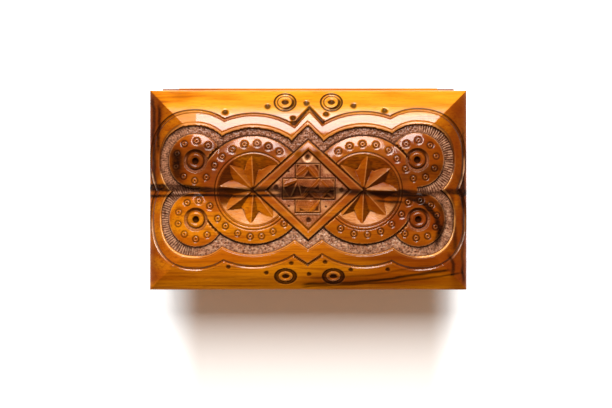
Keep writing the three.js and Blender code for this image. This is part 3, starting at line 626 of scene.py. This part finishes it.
        # Painted shade on the chips at the back, on a chip at the left, in the hollows by the tips and in
        # the middle pit; the chips at the front are painted pale as sheen.
        front = ramp(6, -2, dy)
        scraped = self.noise(1.4, 0.5, 45)
        tips = chip * ramp(0.9, 0.1, height - blurred(height, 0.8) + 1.0) * (1 - 0.4 * front)
        dark = chip * ((0.42 + 0.2 * scraped) * (1 - front)) + 0.75 * tips
        left_chip = 0.8 * chip * ramp(-8, -11, dx) * ramp(-9, -6, dy)
        more(dark, shade, 0.95 * ramp(2.1, 1.2, radius), left_chip)
        pale = (0.55 + 0.3 * scraped) * chip * ramp(-5.5, -9, dy)
        more(lit, 0.4 * crest * (1 - shade), pale)
        self.put(
            radius < STAR_RADIUS,
            cut=height, worn=lit, ground=0.4 * pale, dull=0.62 + 0.2 * scraped,
            stain=unit(dark + 0.12 * scraped),
        )
        more(self.stain, 0.85 * vee(radius - STAR_RADIUS - 0.15, 0.7))

    def rhombus(self, half, tall):
        """Distance outside a rhombus about the lid's middle."""
        return (self.side * tall + np.abs(self.y) * half - half * tall) / math.hypot(half, tall)

    def diamond(self):
        """A frame round a well with a mottled floor, darker at its back, dots and a stepped cross. A
        glint round the back dot is a painted highlight, and two patches at the frame's top are painted
        shade.
        """
        y = self.y
        outside, well_outside = self.rhombus(*DIAMOND), self.rhombus(*WELL)
        self.clear_round(outside, 0.85)
        top = -0.5 * unit(1 + outside / 0.9) ** 2 - 0.4 * unit(1 - well_outside / 0.7) ** 2
        top -= 0.012 * np.clip(y - 14.5, 0, None) ** 2
        well = np.interp(-well_outside, [0, 0.5, 1.1], [-0.4, -1.9, -1.5])
        floor = ramp(-0.7, -1.1, well_outside)
        grimy = self.noise(3.5, 2.5, 47)
        # Painted highlight: a glint round the dot at the back.
        glint = vee(self.polar(-0.3, 16.4)[0] - 2.2, 1.8, 1.5) * ramp(17.6, 16.2, y)
        bright = np.maximum(0.85 * unit(-0.1 - 0.9 * grimy), glint)
        # Painted shade: two dark patches on the frame's top.
        corner = np.exp(-((np.abs(self.x + 0.3) - 4.7) / 2.4) ** 2 - ((y - 17.6) / 2.2) ** 2)
        lines = vee(outside - 0.35, 1.3)
        more(lines, 0.95 * vee(well_outside + 0.35, 1.3), 0.6 * corner * (well_outside > 0))
        # Darker towards the back of the well's floor.
        back_darkening = 0.35 * floor * ramp(12.5, 14, y) * (1 - unit(glint))
        self.put(
            outside < 0,
            cut=np.where(well_outside < 0, well, top), stain=np.maximum(lines, back_darkening),
            ground=(0.6 + 0.2 * grimy) * floor, worn=bright * floor,
            dull=0.3 + 0.35 * ramp(15, 18, y) * ramp(23, 20, y),
        )
        more(self.stain, lines * (np.abs(outside) < 0.9))

        area, dx, dy = self.window(-0.3, 16.6, 3.0)  # a hollow round the dot at the back
        self.cut[area] -= 0.7 * unit(1 - np.hypot(dx, dy) / 3.0) ** 0.7
        for dot in DIAMOND_DOTS:
            self.dot(*dot)
        self.cross()

    def cross(self):
        """A stepped cross, carved into leaves that lie slantwise between sunk triangles."""
        parts = []
        for left, right, bottom, top in CROSS_BOXES:
            across = np.maximum(left - self.x, self.x - right)
            parts.append(np.maximum(across, np.maximum(bottom - self.y, self.y - top)))
        outside = np.min(parts, axis=0)
        height = -0.55 + 0.012 * (self.x - self.y) - 0.2 * np.clip(outside + 0.6, 0, 0.6)
        grimy = unit(0.2 + 0.25 * self.noise(2.5, 1.2, 49))
        self.put(outside < 0, cut=height, stain=grimy, ground=0.25, worn=0, dull=0.6)
        for part in parts:
            self.groove(part, 0.9, 0.7)
        self.cut += 0.9 * vee(self.y + 12.0, 1.3) * (np.abs(self.x + 0.3) < 6.3)
        for corners in CROSS_CHIPS:
            self.triangle(corners)
        for start, end, half_width in CROSS_LEAVES:
            self.leaf(start, end, half_width)

    def triangle(self, corners):
        """A chip with three sides that slope in to its deepest point."""
        (ax, ay), (bx, by), (cx, cy) = corners
        turn = np.sign((bx - ax) * (cy - ay) - (by - ay) * (cx - ax))
        distances = []
        for (px, py), (qx, qy) in zip(corners, corners[1:] + corners[:1]):
            length = math.hypot(qx - px, qy - py)
            distances.append(turn * ((qx - px) * (self.y - py) - (qy - py) * (self.x - px)) / length)
        inner = np.clip(np.min(distances, axis=0), 0, None)
        self.cut -= np.minimum(inner * 1.3, CHIP_DEPTH)
        more(self.stain, 0.8 * ramp(0.1, 0.8, inner))

    def leaf(self, start, end, half_width):
        """A ridge with pointed ends."""
        (ax, ay), (bx, by) = start, end
        length = math.hypot(bx - ax, by - ay)
        ux, uy = (bx - ax) / length, (by - ay) / length
        along = ((self.x - ax) * ux + (self.y - ay) * uy) / length
        aside = np.abs((self.y - ay) * ux - (self.x - ax) * uy)
        width = half_width * np.sqrt(unit(4 * along * (1 - along))) + 1e-6
        inside = (aside < width) & (along > 0) & (along < 1)
        ridge = np.maximum(self.cut, -0.3 - 0.5 * aside)
        self.put(inside, cut=ridge, stain=0.55 * ramp(0.6, 1.0, aside / width), ground=0)

    def carve(self):
        """Carves the lid, and gives the heights of its top above its underside."""
        self.field()
        self.stipple()
        for x, y in ROUNDELS:
            self.raise_disc(x, y, ROUNDEL_RADIUS)
        self.rings()
        self.roundel_marks()
        self.diamond()
        self.contour()
        for eye in EYES:
            self.eye(*eye)
        for dot in BEVEL_DOTS:
            self.dot(*dot)
        hand = 0.035 * self.noise(5, 4, 3) + 0.012 * self.noise(1.6, 1.3, 4)
        self.age()
        return np.minimum(self.top() + self.cut + hand, RIM_HEIGHT + CROWN_RISE)

    def age(self):
        """Darker in every hollow, as dirt and painted shade, edges rubbed paler, and a rubbed patch at
        the back left, with dulled varnish, painted paler as a weak sheen.
        """
        fine = self.cut - blurred(self.cut, 0.45)
        broad = self.cut - blurred(self.cut, 1.2)
        # Darker in every hollow: dirt, and painted shade.
        hollow = unit(-2.2 * fine - 0.1) + np.clip(-0.8 * broad - 0.12, 0, 0.6)
        hollow *= 1 - 0.6 * self.ground
        self.stain = unit(self.stain + 0.5 * hollow * (1 - self.stain))
        more(self.worn, 0.8 * unit(2.4 * fine - 0.12) * (1 - self.stain) * (1 - 0.7 * self.calm))
        # The rubbed patch at the back left: dulled varnish, painted paler as a weak sheen.
        mitre = (self.width / 2 - self.side) - (self.depth / 2 - self.y)
        band = ramp(RUBBED_LINE, RUBBED_LINE - 1, self.x) * ramp(29, 32, self.y)
        band *= ramp(42, 37, self.y) * ramp(0, 0.4, mitre) * (1 - self.stain)
        more(self.worn, 0.65 * band)
        more(self.dull, 0.9 * band)


def heartwood(x, y):
    """How dark the wood is: the black heart across the middle, and streaks that run off it."""
    wander = 0.45 * noise(x, y, 14, 6, 21) + 0.2 * noise(x, y, 4, 3, 22)
    total = np.zeros_like(x)
    for streaks, along, across in ((HEART, x, y), (HEART_UPRIGHT, y, x)):
        for points, width, strength in streaks:
            start, end = points[0][0], points[-1][0]
            ends = ramp(start - 3, start + 2, along) * ramp(end + 3, end - 2, along)
            aside = across - np.interp(along, *zip(*points)) + wander
            total += strength * ends * np.exp(-np.abs(aside / width) ** 3)
    return unit(total)


def redness(x, y):
    """Where the wood is a darker, redder brown, or below 0 a paler yellow."""
    x, y = x + 2.5 * noise(x, y, 9, 7, 33), y + 1.5 * noise(x, y, 12, 5, 34)
    total = 0.3 * ramp(-8, 8, y) + 0.1 * noise(x, y, 20, 3, 32)
    for px, py, wide, high, strength in RED_PATCHES:
        total += strength * np.exp(-((x - px) / wide) ** 2 - ((y - py) / high) ** 2)
    return total


def bevel_tones_shade_and_sheen(relief):
    """Redness on the bevels: the two across the grain are redder, as end grain and as painted shade, the
    right one most; the back one is painted paler as a sheen.
    """
    x, y = relief.x, relief.y
    from_side = relief.width / 2 - relief.side
    mitre = from_side - (relief.depth / 2 - np.abs(y))
    side = ramp(0.3, -0.3, mitre) * ramp(18, 6, from_side) * np.where(x < 0, 0.3, 1.2)
    back = ramp(-0.3, 0.3, mitre) * ramp(35, 41, y)
    streaked = 1.0 + 0.25 * noise(x, y, 12, 3, 35) + 0.25 * noise(x, y, 16, 0.9, 36)
    return 0.3 * side - back * streaked


# The lid's mesh

SKIRT = [(RIM_HEIGHT - 0.8, 0.0), (0.7, 0.0), (0.0, 0.7)]  # height and inset of each row below
SKIRT_SPREAD = [0.8, RIM_HEIGHT - 0.7, RIM_HEIGHT + 0.3]  # how far out each row lies in the UV map
MAP_MARGIN = 12  # beyond the lid's size, in the UV map
UNDERSIDE_SCALE = 0.5  # of the underside in the UV map, where it lies above the top
UNDERSIDE_PLACE = (0.26, 0.83)


def add(data):
    """An object in the scene, named like its data."""
    made = bpy.data.objects.new(data.name, data)
    bpy.context.scene.collection.objects.link(made)
    return made


def carved_lid():
    """The lid's board: the carved top on a grid, with a skirt and a flat underside."""
    low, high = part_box("lid_panel")
    middle = (low + high) / 2
    relief = Relief((high.x - low.x) / MM, (high.y - low.y) / MM)
    height = relief.carve()
    size = np.array([relief.width, relief.depth])
    rows, columns = height.shape
    index = np.arange(rows * columns).reshape(rows, columns)
    loop = np.concatenate([index[0, :-1], index[:-1, -1], index[-1, :0:-1], index[:0:-1, 0]])
    flat = np.column_stack([relief.x.ravel(), relief.y.ravel()])
    points = [np.column_stack([flat, height.ravel()])]
    spread = [flat]  # the points in the UV map, whose edges are folded out
    faces = [np.column_stack([
        index[:-1, :-1].ravel(), index[:-1, 1:].ravel(), index[1:, 1:].ravel(), index[1:, :-1].ravel()
    ])]
    upper = loop
    for step, ((level, inset), out) in enumerate(zip(SKIRT, SKIRT_SPREAD)):
        around = np.clip(flat[loop], inset - size / 2, size / 2 - inset)
        points.append(np.column_stack([around, np.full(len(loop), level)]))
        spread.append(flat[loop] + out * (np.abs(flat[loop]) > size / 2 - 1e-3) * np.sign(flat[loop]))
        lower = rows * columns + step * len(loop) + np.arange(len(loop))
        faces.append(np.column_stack([upper, lower, np.roll(lower, -1), np.roll(upper, -1)]))
        upper = lower
    points, spread = np.vstack(points), np.vstack(spread)

    mesh = bpy.data.meshes.new("lid_carved")
    places = points * MM + np.array([middle.x, middle.y, low.z])
    mesh.from_pydata(places.tolist(), [], np.vstack(faces).tolist() + [upper[::-1].tolist()])
    mesh.polygons.foreach_set("use_smooth", [True] * (len(mesh.polygons) - 1) + [False])
    mesh.update()
    lid = add(mesh)
    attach(lid, "lid")

    heart = heartwood(relief.x, relief.y)
    fields = {
        "stain": unit(relief.stain),
        "ground": relief.ground,
        "heart": heart,
        # red also carries the bevels' painted shade and painted sheen.
        "red": np.clip(redness(relief.x, relief.y) + bevel_tones_shade_and_sheen(relief), -1, 1),
        "worn": np.clip(relief.worn, 0, 1.5) * (1 - 0.75 * heart),
        "dull": unit(relief.dull),
    }
    for name, values in fields.items():
        skirt = np.tile(values.ravel()[loop], len(SKIRT))
        skirt[-len(loop):] = 0
        attribute = mesh.attributes.new(name, "FLOAT", "POINT")
        attribute.data.foreach_set("value", np.concatenate([values.ravel(), skirt]).astype(np.float32))

    corner = np.zeros(len(mesh.loops), np.int32)
    mesh.loops.foreach_get("vertex_index", corner)
    side = relief.width + MAP_MARGIN
    uvs = ((spread + (size * [0, 1] + [side, MAP_MARGIN]) / 2) / side)[corner]
    under = corner[-len(loop):]
    uvs[-len(loop):] = points[under, :2] / relief.width * UNDERSIDE_SCALE + UNDERSIDE_PLACE
    mesh.uv_layers.new(name="OFBake").data.foreach_set("uv", uvs.astype(np.float32).ravel())
    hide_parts("lid_panel")
    return lid


# Materials


def linear(red, green, blue):
    """A colour given as it looks on a screen, from 0 to 255, as linear light."""
    shares = [value / 255 for value in (red, green, blue)]
    light = [s / 12.92 if s <= 0.04045 else ((s + 0.055) / 1.055) ** 2.4 for s in shares]
    return (*light, 1.0)


GOLDEN, AMBER, FINE_GRAIN = linear(214, 126, 8), linear(184, 92, 4), linear(138, 60, 3)
REDDISH, YELLOW, PORE = linear(106, 36, 3), linear(236, 160, 34), linear(104, 46, 8)
# The stain colour is dirt and dye and also painted shade; the worn colours are wear and also painted
# highlights; the ground colours are the punched ground and also painted grey sheen.
HEART_COLOUR, STAIN_AND_SHADE_COLOUR = linear(26, 10, 5), linear(36, 14, 6)
END_GRAIN = linear(112, 56, 12), linear(74, 34, 9)
WEAR_AND_SHEEN_WOOD, WEAR_AND_SHEEN_GROUND = linear(240, 168, 92), linear(228, 184, 150)
GROUND_AND_SHEEN = linear(178, 118, 86), linear(104, 60, 38), linear(104, 60, 40)
STEEL = linear(150, 148, 144), linear(112, 108, 102)
WHITE = (1, 1, 1, 1)
BUMP_HEIGHT = 0.06  # this and the next lengths are in millimetres
PORE_BUMP = -0.35  # share of it that a pore is deep
EDGE_ROUNDING = 0.45
CORNER_REACH = 1.4  # how far from a corner the darkening reaches: gathered varnish and painted shade


class Tree:
    """Short calls for a tree of nodes. A value may be a number, a colour or a node's socket."""

    def __init__(self, owner, shader="Principled BSDF"):
        owner.use_nodes = True
        self.owner = owner
        self.nodes, self.links = owner.node_tree.nodes, owner.node_tree.links
        self.shader = self.nodes[shader]

    def node(self, kind, inputs={}, **settings):
        made = self.nodes.new("ShaderNode" + kind)
        for name, value in settings.items():
            setattr(made, name, value)
        for socket, value in inputs.items():
            self.plug(made.inputs[socket], value)
        return made

    def plug(self, socket, value):
        if isinstance(value, bpy.types.NodeSocket):
            self.links.new(value, socket)
        else:
            socket.default_value = value

    def set(self, name, value):
        self.plug(self.shader.inputs[name], value)

    def math(self, operation, first, second=0.0, clamp=False):
        inputs = {0: first, 1: second}
        return self.node("Math", inputs, operation=operation, use_clamp=clamp).outputs[0]

    def times(self, first, second):
        return self.math("MULTIPLY", first, second)

    def plus(self, first, second):
        return self.math("ADD", first, second)

    def mix(self, share, first, second):
        """A colour between two."""
        return self.node("Mix", {0: share, 6: first, 7: second}, data_type="RGBA").outputs[2]

    def between(self, share, first, second):
        """A number between two."""
        return self.node("Mix", {0: share, 2: first, 3: second}).outputs[0]

    def attribute(self, name):
        return self.node("Attribute", attribute_name=name).outputs["Fac"]

    def coordinate(self, name):
        return self.node("TexCoord").outputs[name]

    def part(self, vector, axis):
        return self.node("SeparateXYZ", {0: vector}).outputs[axis]

    def rays(self, *names):
        """1 for the kinds of ray that are named."""
        node = self.node("LightPath")
        total = node.outputs[names[0]]
        for name in names[1:]:
            total = self.math("MAXIMUM", total, node.outputs[name])
        return total

    def noise(self, scale, detail=3.0, roughness=0.5, distortion=0.0, offset=(0, 0, 0)):
        """Noise from 0 to 1, whose patches have the given size in millimetres along each axis."""
        per_metre = [1 / (MM * size) for size in scale]
        place = {"Vector": self.coordinate("Object"), "Location": offset, "Scale": per_metre}
        inputs = {
            "Vector": self.node("Mapping", place).outputs[0], "Scale": 1.0, "Detail": detail,
            "Roughness": roughness, "Distortion": distortion,
        }
        return self.node("TexNoise", inputs).outputs["Fac"]

    def remap(self, value, low, high, to_low=0.0, to_high=1.0):
        inputs = {"Value": value, "From Min": low, "From Max": high, "To Min": to_low, "To Max": to_high}
        return self.node("MapRange", inputs, interpolation_type="SMOOTHSTEP").outputs[0]

    def bump(self, height, distance, edge=0.0):
        """Height in shares of a distance in millimetres, over edges rounded by another distance."""
        inputs = {"Height": height, "Distance": distance * MM, "Strength": 1.0}
        if edge:
            inputs["Normal"] = self.node("Bevel", {"Radius": edge * MM}).outputs[0]
        self.set("Normal", self.node("Bump", inputs).outputs[0])


def grain_scale(axis, along, across):
    """Patch size in millimetres for a grain that runs along one axis."""
    size = [across] * 3
    size[axis] = along
    return size


def cut_piece(tree, axis, colour):
    """What a plain piece adds: end grain where it is cut across, and darkening in its corners by ambient
    occlusion, which is gathered varnish and painted shade.
    """
    across = tree.math("ABSOLUTE", tree.part(tree.coordinate("Normal"), axis))
    rings = tree.noise(grain_scale((axis + 1) % 3, 6.0, 1.3), 3, 0.6, 0.6)
    cut_colour = tree.mix(tree.remap(rings, 0.35, 0.65), *END_GRAIN)
    colour = tree.mix(tree.times(tree.remap(across, 0.6, 0.8), 0.85), colour, cut_colour)
    # Painted shade: ambient occlusion darkens corners and creases.
    corner = tree.node("AmbientOcclusion", {"Distance": CORNER_REACH * MM}, only_local=True, samples=8)
    return tree.mix(tree.remap(corner.outputs["AO"], 0.95, 0.5, 0.0, 0.75), colour, STAIN_AND_SHADE_COLOUR)


def carving(tree, colour, roughness, height, fine, offset):
    """What the lid's carving adds: dark heart, the punched ground, stained cuts and rubbed edges, and the
    painted shade, painted highlights and painted grey sheen that these fields also hold.
    """
    ground, heart, worn = map(tree.attribute, ("ground", "heart", "worn"))
    colour = tree.mix(tree.times(heart, tree.remap(fine, 0.35, 0.6, 0.85, 1.0)), colour, HEART_COLOUR)
    colour = tree.mix(tree.times(worn, 0.55), colour, WEAR_AND_SHEEN_WOOD)
    speckle = tree.noise((0.6, 0.6, 0.6), 2, 0.6, 0.0, offset)
    blotches = tree.noise((7, 5, 5), 2, 0.5, 0.0, offset)
    ground_and_sheen_colour = tree.mix(tree.remap(speckle, 0.35, 0.65), GROUND_AND_SHEEN[0], GROUND_AND_SHEEN[1])
    ground_and_sheen_colour = tree.mix(tree.remap(blotches, 0.4, 0.65, 0, 0.45), ground_and_sheen_colour, GROUND_AND_SHEEN[2])
    ground_and_sheen_colour = tree.mix(tree.times(worn, 0.6), ground_and_sheen_colour, WEAR_AND_SHEEN_GROUND)
    ground_and_sheen_colour = tree.mix(tree.times(heart, 0.75), ground_and_sheen_colour, HEART_COLOUR)
    colour = tree.mix(ground, colour, ground_and_sheen_colour)
    colour = tree.mix(tree.times(tree.attribute("stain"), 0.92), colour, STAIN_AND_SHADE_COLOUR)
    roughness = tree.plus(roughness, tree.times(ground, 0.12))
    return colour, roughness, tree.plus(height, tree.times(speckle, ground))


def varnish(tree, gloss):
    """The lid's varnish shines less on the ground and its painted grey sheen, in stained cuts and painted
    shade, on dark heart and where dull.
    """
    ground, stain, dull, heart = map(tree.attribute, ("ground", "stain", "dull", "heart"))
    dulled = tree.plus(tree.plus(tree.times(ground, 0.55), tree.times(stain, 0.9)), dull)
    dulled = tree.plus(dulled, tree.times(heart, 0.45))
    return tree.math("SUBTRACT", gloss, dulled, clamp=True)


def wood(name, axis=0, offset=(0, 0, 0), gloss=1.0, streaks=0.0, carved=False):
    """Varnished fruitwood. axis is the way of the grain; streaks is how much dark heart shows."""
    tree = Tree(bpy.data.materials.new(name))
    broad = tree.noise(grain_scale(axis, 90, 9), 2, 0.5, 0.4, offset)
    fine = tree.noise(grain_scale(axis, 26, 1.1), 4, 0.6, 0.3, offset)
    pores = tree.noise(grain_scale(axis, 5.0, 0.22), 2, 0.6, 0.0, offset)
    colour = tree.mix(tree.remap(broad, 0.35, 0.68), GOLDEN, AMBER)
    colour = tree.mix(tree.remap(fine, 0.42, 0.72, 0, 0.68), colour, FINE_GRAIN)
    if carved:
        red = tree.attribute("red")
        redder = tree.mix(0.85, colour, REDDISH)
        colour = tree.mix(tree.math("MULTIPLY", red, 1.0, clamp=True), colour, redder)
        pale = tree.math("MULTIPLY", red, -1.0, clamp=True)
        colour = tree.mix(tree.times(pale, 0.75), colour, YELLOW)
    colour = tree.mix(tree.remap(pores, 0.56, 0.72, 0, 0.6), colour, PORE)
    if streaks:
        veins = tree.noise(grain_scale(axis, 120, 5), 3, 0.55, 0.8, (offset[0] + 7, *offset[1:]))
        colour = tree.mix(tree.remap(veins, 0.60, 0.72, 0, streaks), colour, HEART_COLOUR)
    roughness = tree.remap(fine, 0.3, 0.7, 0.42, 0.56)
    height = tree.times(pores, PORE_BUMP)
    if carved:
        colour, roughness, height = carving(tree, colour, roughness, height, fine, offset)
    else:
        colour = cut_piece(tree, axis, colour)
    tree.set("Base Color", colour)
    tree.set("Roughness", roughness)
    tree.set("Specular IOR Level", 0.0)
    tree.set("Coat Roughness", 0.17)
    tree.set("Coat IOR", 1.5)
    tree.set("Coat Weight", varnish(tree, gloss) if carved else gloss)
    tree.bump(height, BUMP_HEIGHT, edge=0.0 if carved else EDGE_ROUNDING)
    return tree.owner


def steel():
    tree = Tree(bpy.data.materials.new("steel"))
    scratches = tree.noise((0.4, 0.4, 3.0), 3, 0.6)
    tree.set("Base Color", tree.mix(tree.remap(scratches, 0.4, 0.7), *STEEL))
    tree.set("Roughness", tree.remap(scratches, 0.3, 0.7, 0.28, 0.5))
    tree.set("Metallic", 1.0)
    tree.bump(scratches, 0.01)
    return tree.owner


def paint_all(lid):
    lid.data.materials.append(wood("wood_lid", carved=True))
    side = wood("wood_side", axis=1, offset=(3, 1, 2), streaks=0.7)
    long = wood("wood_long", axis=0, offset=(9, 4, 5), streaks=0.7)
    plain = wood("wood_inside", axis=0, offset=(2, 8, 1), gloss=0.4, streaks=0.3)
    peg = wood("wood_peg", axis=2, offset=(1, 1, 9), gloss=0.3)
    metal = steel()
    finishes = {
        "left_wall": side, "right_wall": side, "front_wall": long, "back_wall": long,
        "base_board": long, "hinge_rail": long, "lid_lip": plain, "rail_dowel": peg,
        "base_nail": metal, "hinge_pin": metal,
    }
    for node, made in frame["nodes"].items():
        for start, material in finishes.items():
            if node.startswith(start):
                made.data.materials.clear()
                made.data.materials.append(material)


# Stage, light and camera. Lengths are in metres.

FLOOR_SIZE = 6.0  # half its width
FLOOR_COLOUR = (0.93, 0.96, 1.0, 1)
SHADOW_GLOW = (0.13, 0.058, 0.02, 1)  # the floor's painted warm glow in the casket's shadow, standing in for light that the casket throws there
# The floor's own glow beside the casket, which paints out the shadow there.
OPEN_GLOW = (0.65, 0.65, 0.65, 1)
SHADOW_MIDDLE = 0.0035  # in x
FILL = 0.19  # brightness of the soft light from all round
SKY = 0.8, 0.03  # brightness in reflections, at the horizon and overhead
SKY_RISE = 0.14  # how far up it turns from one to the other
FILL_COLOUR = (1, 0.84, 0.68, 1)
LAMP_COLOUR = (1.0, 0.96, 0.90)
LAMP_DISTANCE = 1.0
CAMERA_HEIGHT = 0.86  # above the lid's rim
CAMERA_OFFSET = (-1.14, -7.06)  # its axis from the lid's middle, in millimetres
FRAME_WIDTH = 612 * 0.505 * MM  # the photograph's pixels, each 0.505 mm at the lid's rim
SENSOR = 36.0  # in millimetres


def floor():
    """A pale floor, which holds the shadow and shows as white elsewhere.

    It glows for the camera and in reflections: least in the shadow, more beside the casket, as
    in the photograph, and up to white towards the horizon."""
    level = cad_box[0].z
    mesh = bpy.data.meshes.new("floor")
    corners = [(x * FLOOR_SIZE, y * FLOOR_SIZE, level) for x, y in ((-1, -1), (1, -1), (1, 1), (-1, 1))]
    mesh.from_pydata(corners, [], [(0, 1, 2, 3)])
    made = add(mesh)
    tree = Tree(bpy.data.materials.new("floor"))
    tree.set("Base Color", FLOOR_COLOUR)
    tree.set("Roughness", 0.9)
    tree.set("Specular IOR Level", 0.1)
    tree.set("Emission Strength", tree.rays("Is Camera Ray", "Is Glossy Ray", "Is Transmission Ray"))
    place = tree.coordinate("Object")
    aside = tree.math("ABSOLUTE", tree.math("SUBTRACT", tree.part(place, "X"), SHADOW_MIDDLE))
    away = tree.node("VectorMath", {0: place}, operation="LENGTH").outputs["Value"]
    is_open = tree.math("MAXIMUM", tree.remap(aside, 0.060, 0.080), tree.remap(away, 0.15, 0.26))
    glow = tree.mix(is_open, SHADOW_GLOW, OPEN_GLOW)
    tree.set("Emission Color", tree.mix(tree.remap(away, 0.25, 0.9), glow, WHITE))
    mesh.materials.append(tree.owner)


def world():
    """Soft fill light. The camera sees white; reflections see it bright at the horizon only."""
    made = bpy.data.worlds.new("studio")
    bpy.context.scene.world = made
    tree = Tree(made, "Background")
    camera_ray = tree.rays("Is Camera Ray")
    sky = tree.remap(tree.part(tree.coordinate("Generated"), "Z"), 0.0, SKY_RISE, *SKY)
    strength = tree.between(tree.rays("Is Glossy Ray", "Is Transmission Ray"), FILL, sky)
    tree.set("Strength", tree.between(camera_ray, strength, 1.0))
    tree.set("Color", tree.mix(camera_ray, FILL_COLOUR, WHITE))


def softbox(name, azimuth, elevation, width, height, power):
    """A lamp that looks at the casket. Azimuth 0 is the back, and 90 the right."""
    data = bpy.data.lights.new(name, "AREA")
    data.shape = "RECTANGLE"
    data.size, data.size_y = width, height
    data.energy = power
    data.color = LAMP_COLOUR
    lamp = add(data)
    turn, rise = math.radians(azimuth), math.radians(elevation)
    away = [math.sin(turn) * math.cos(rise), math.cos(turn) * math.cos(rise), math.sin(rise)]
    target = (cad_box[0] + cad_box[1]) / 2
    lamp.location = [target[i] + LAMP_DISTANCE * away[i] for i in range(3)]
    direction = target - lamp.location
    lamp.rotation_euler = direction.to_track_quat("-Z", "Y").to_euler()


def camera():
    """Straight down, with the photograph's frame."""
    data = bpy.data.cameras.new("camera")
    made = add(data)
    low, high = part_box("lid_panel")
    middle = (low + high) / 2
    data.sensor_width = SENSOR
    data.lens = SENSOR * CAMERA_HEIGHT / FRAME_WIDTH
    across, back = CAMERA_OFFSET
    rim = low.z + RIM_HEIGHT * MM
    made.location = (middle.x + across * MM, middle.y + back * MM, rim + CAMERA_HEIGHT)
    made.rotation_euler = (0, 0, 0)
    bpy.context.scene.camera = made


camera()
world()
floor()
softbox("window", azimuth=-3, elevation=58.8, width=0.44, height=0.65, power=16.0)
softbox("sill", azimuth=-3, elevation=36.2, width=0.44, height=0.16, power=1.3)
paint_all(carved_lid())

bpy.context.scene.view_settings.view_transform = "Standard"
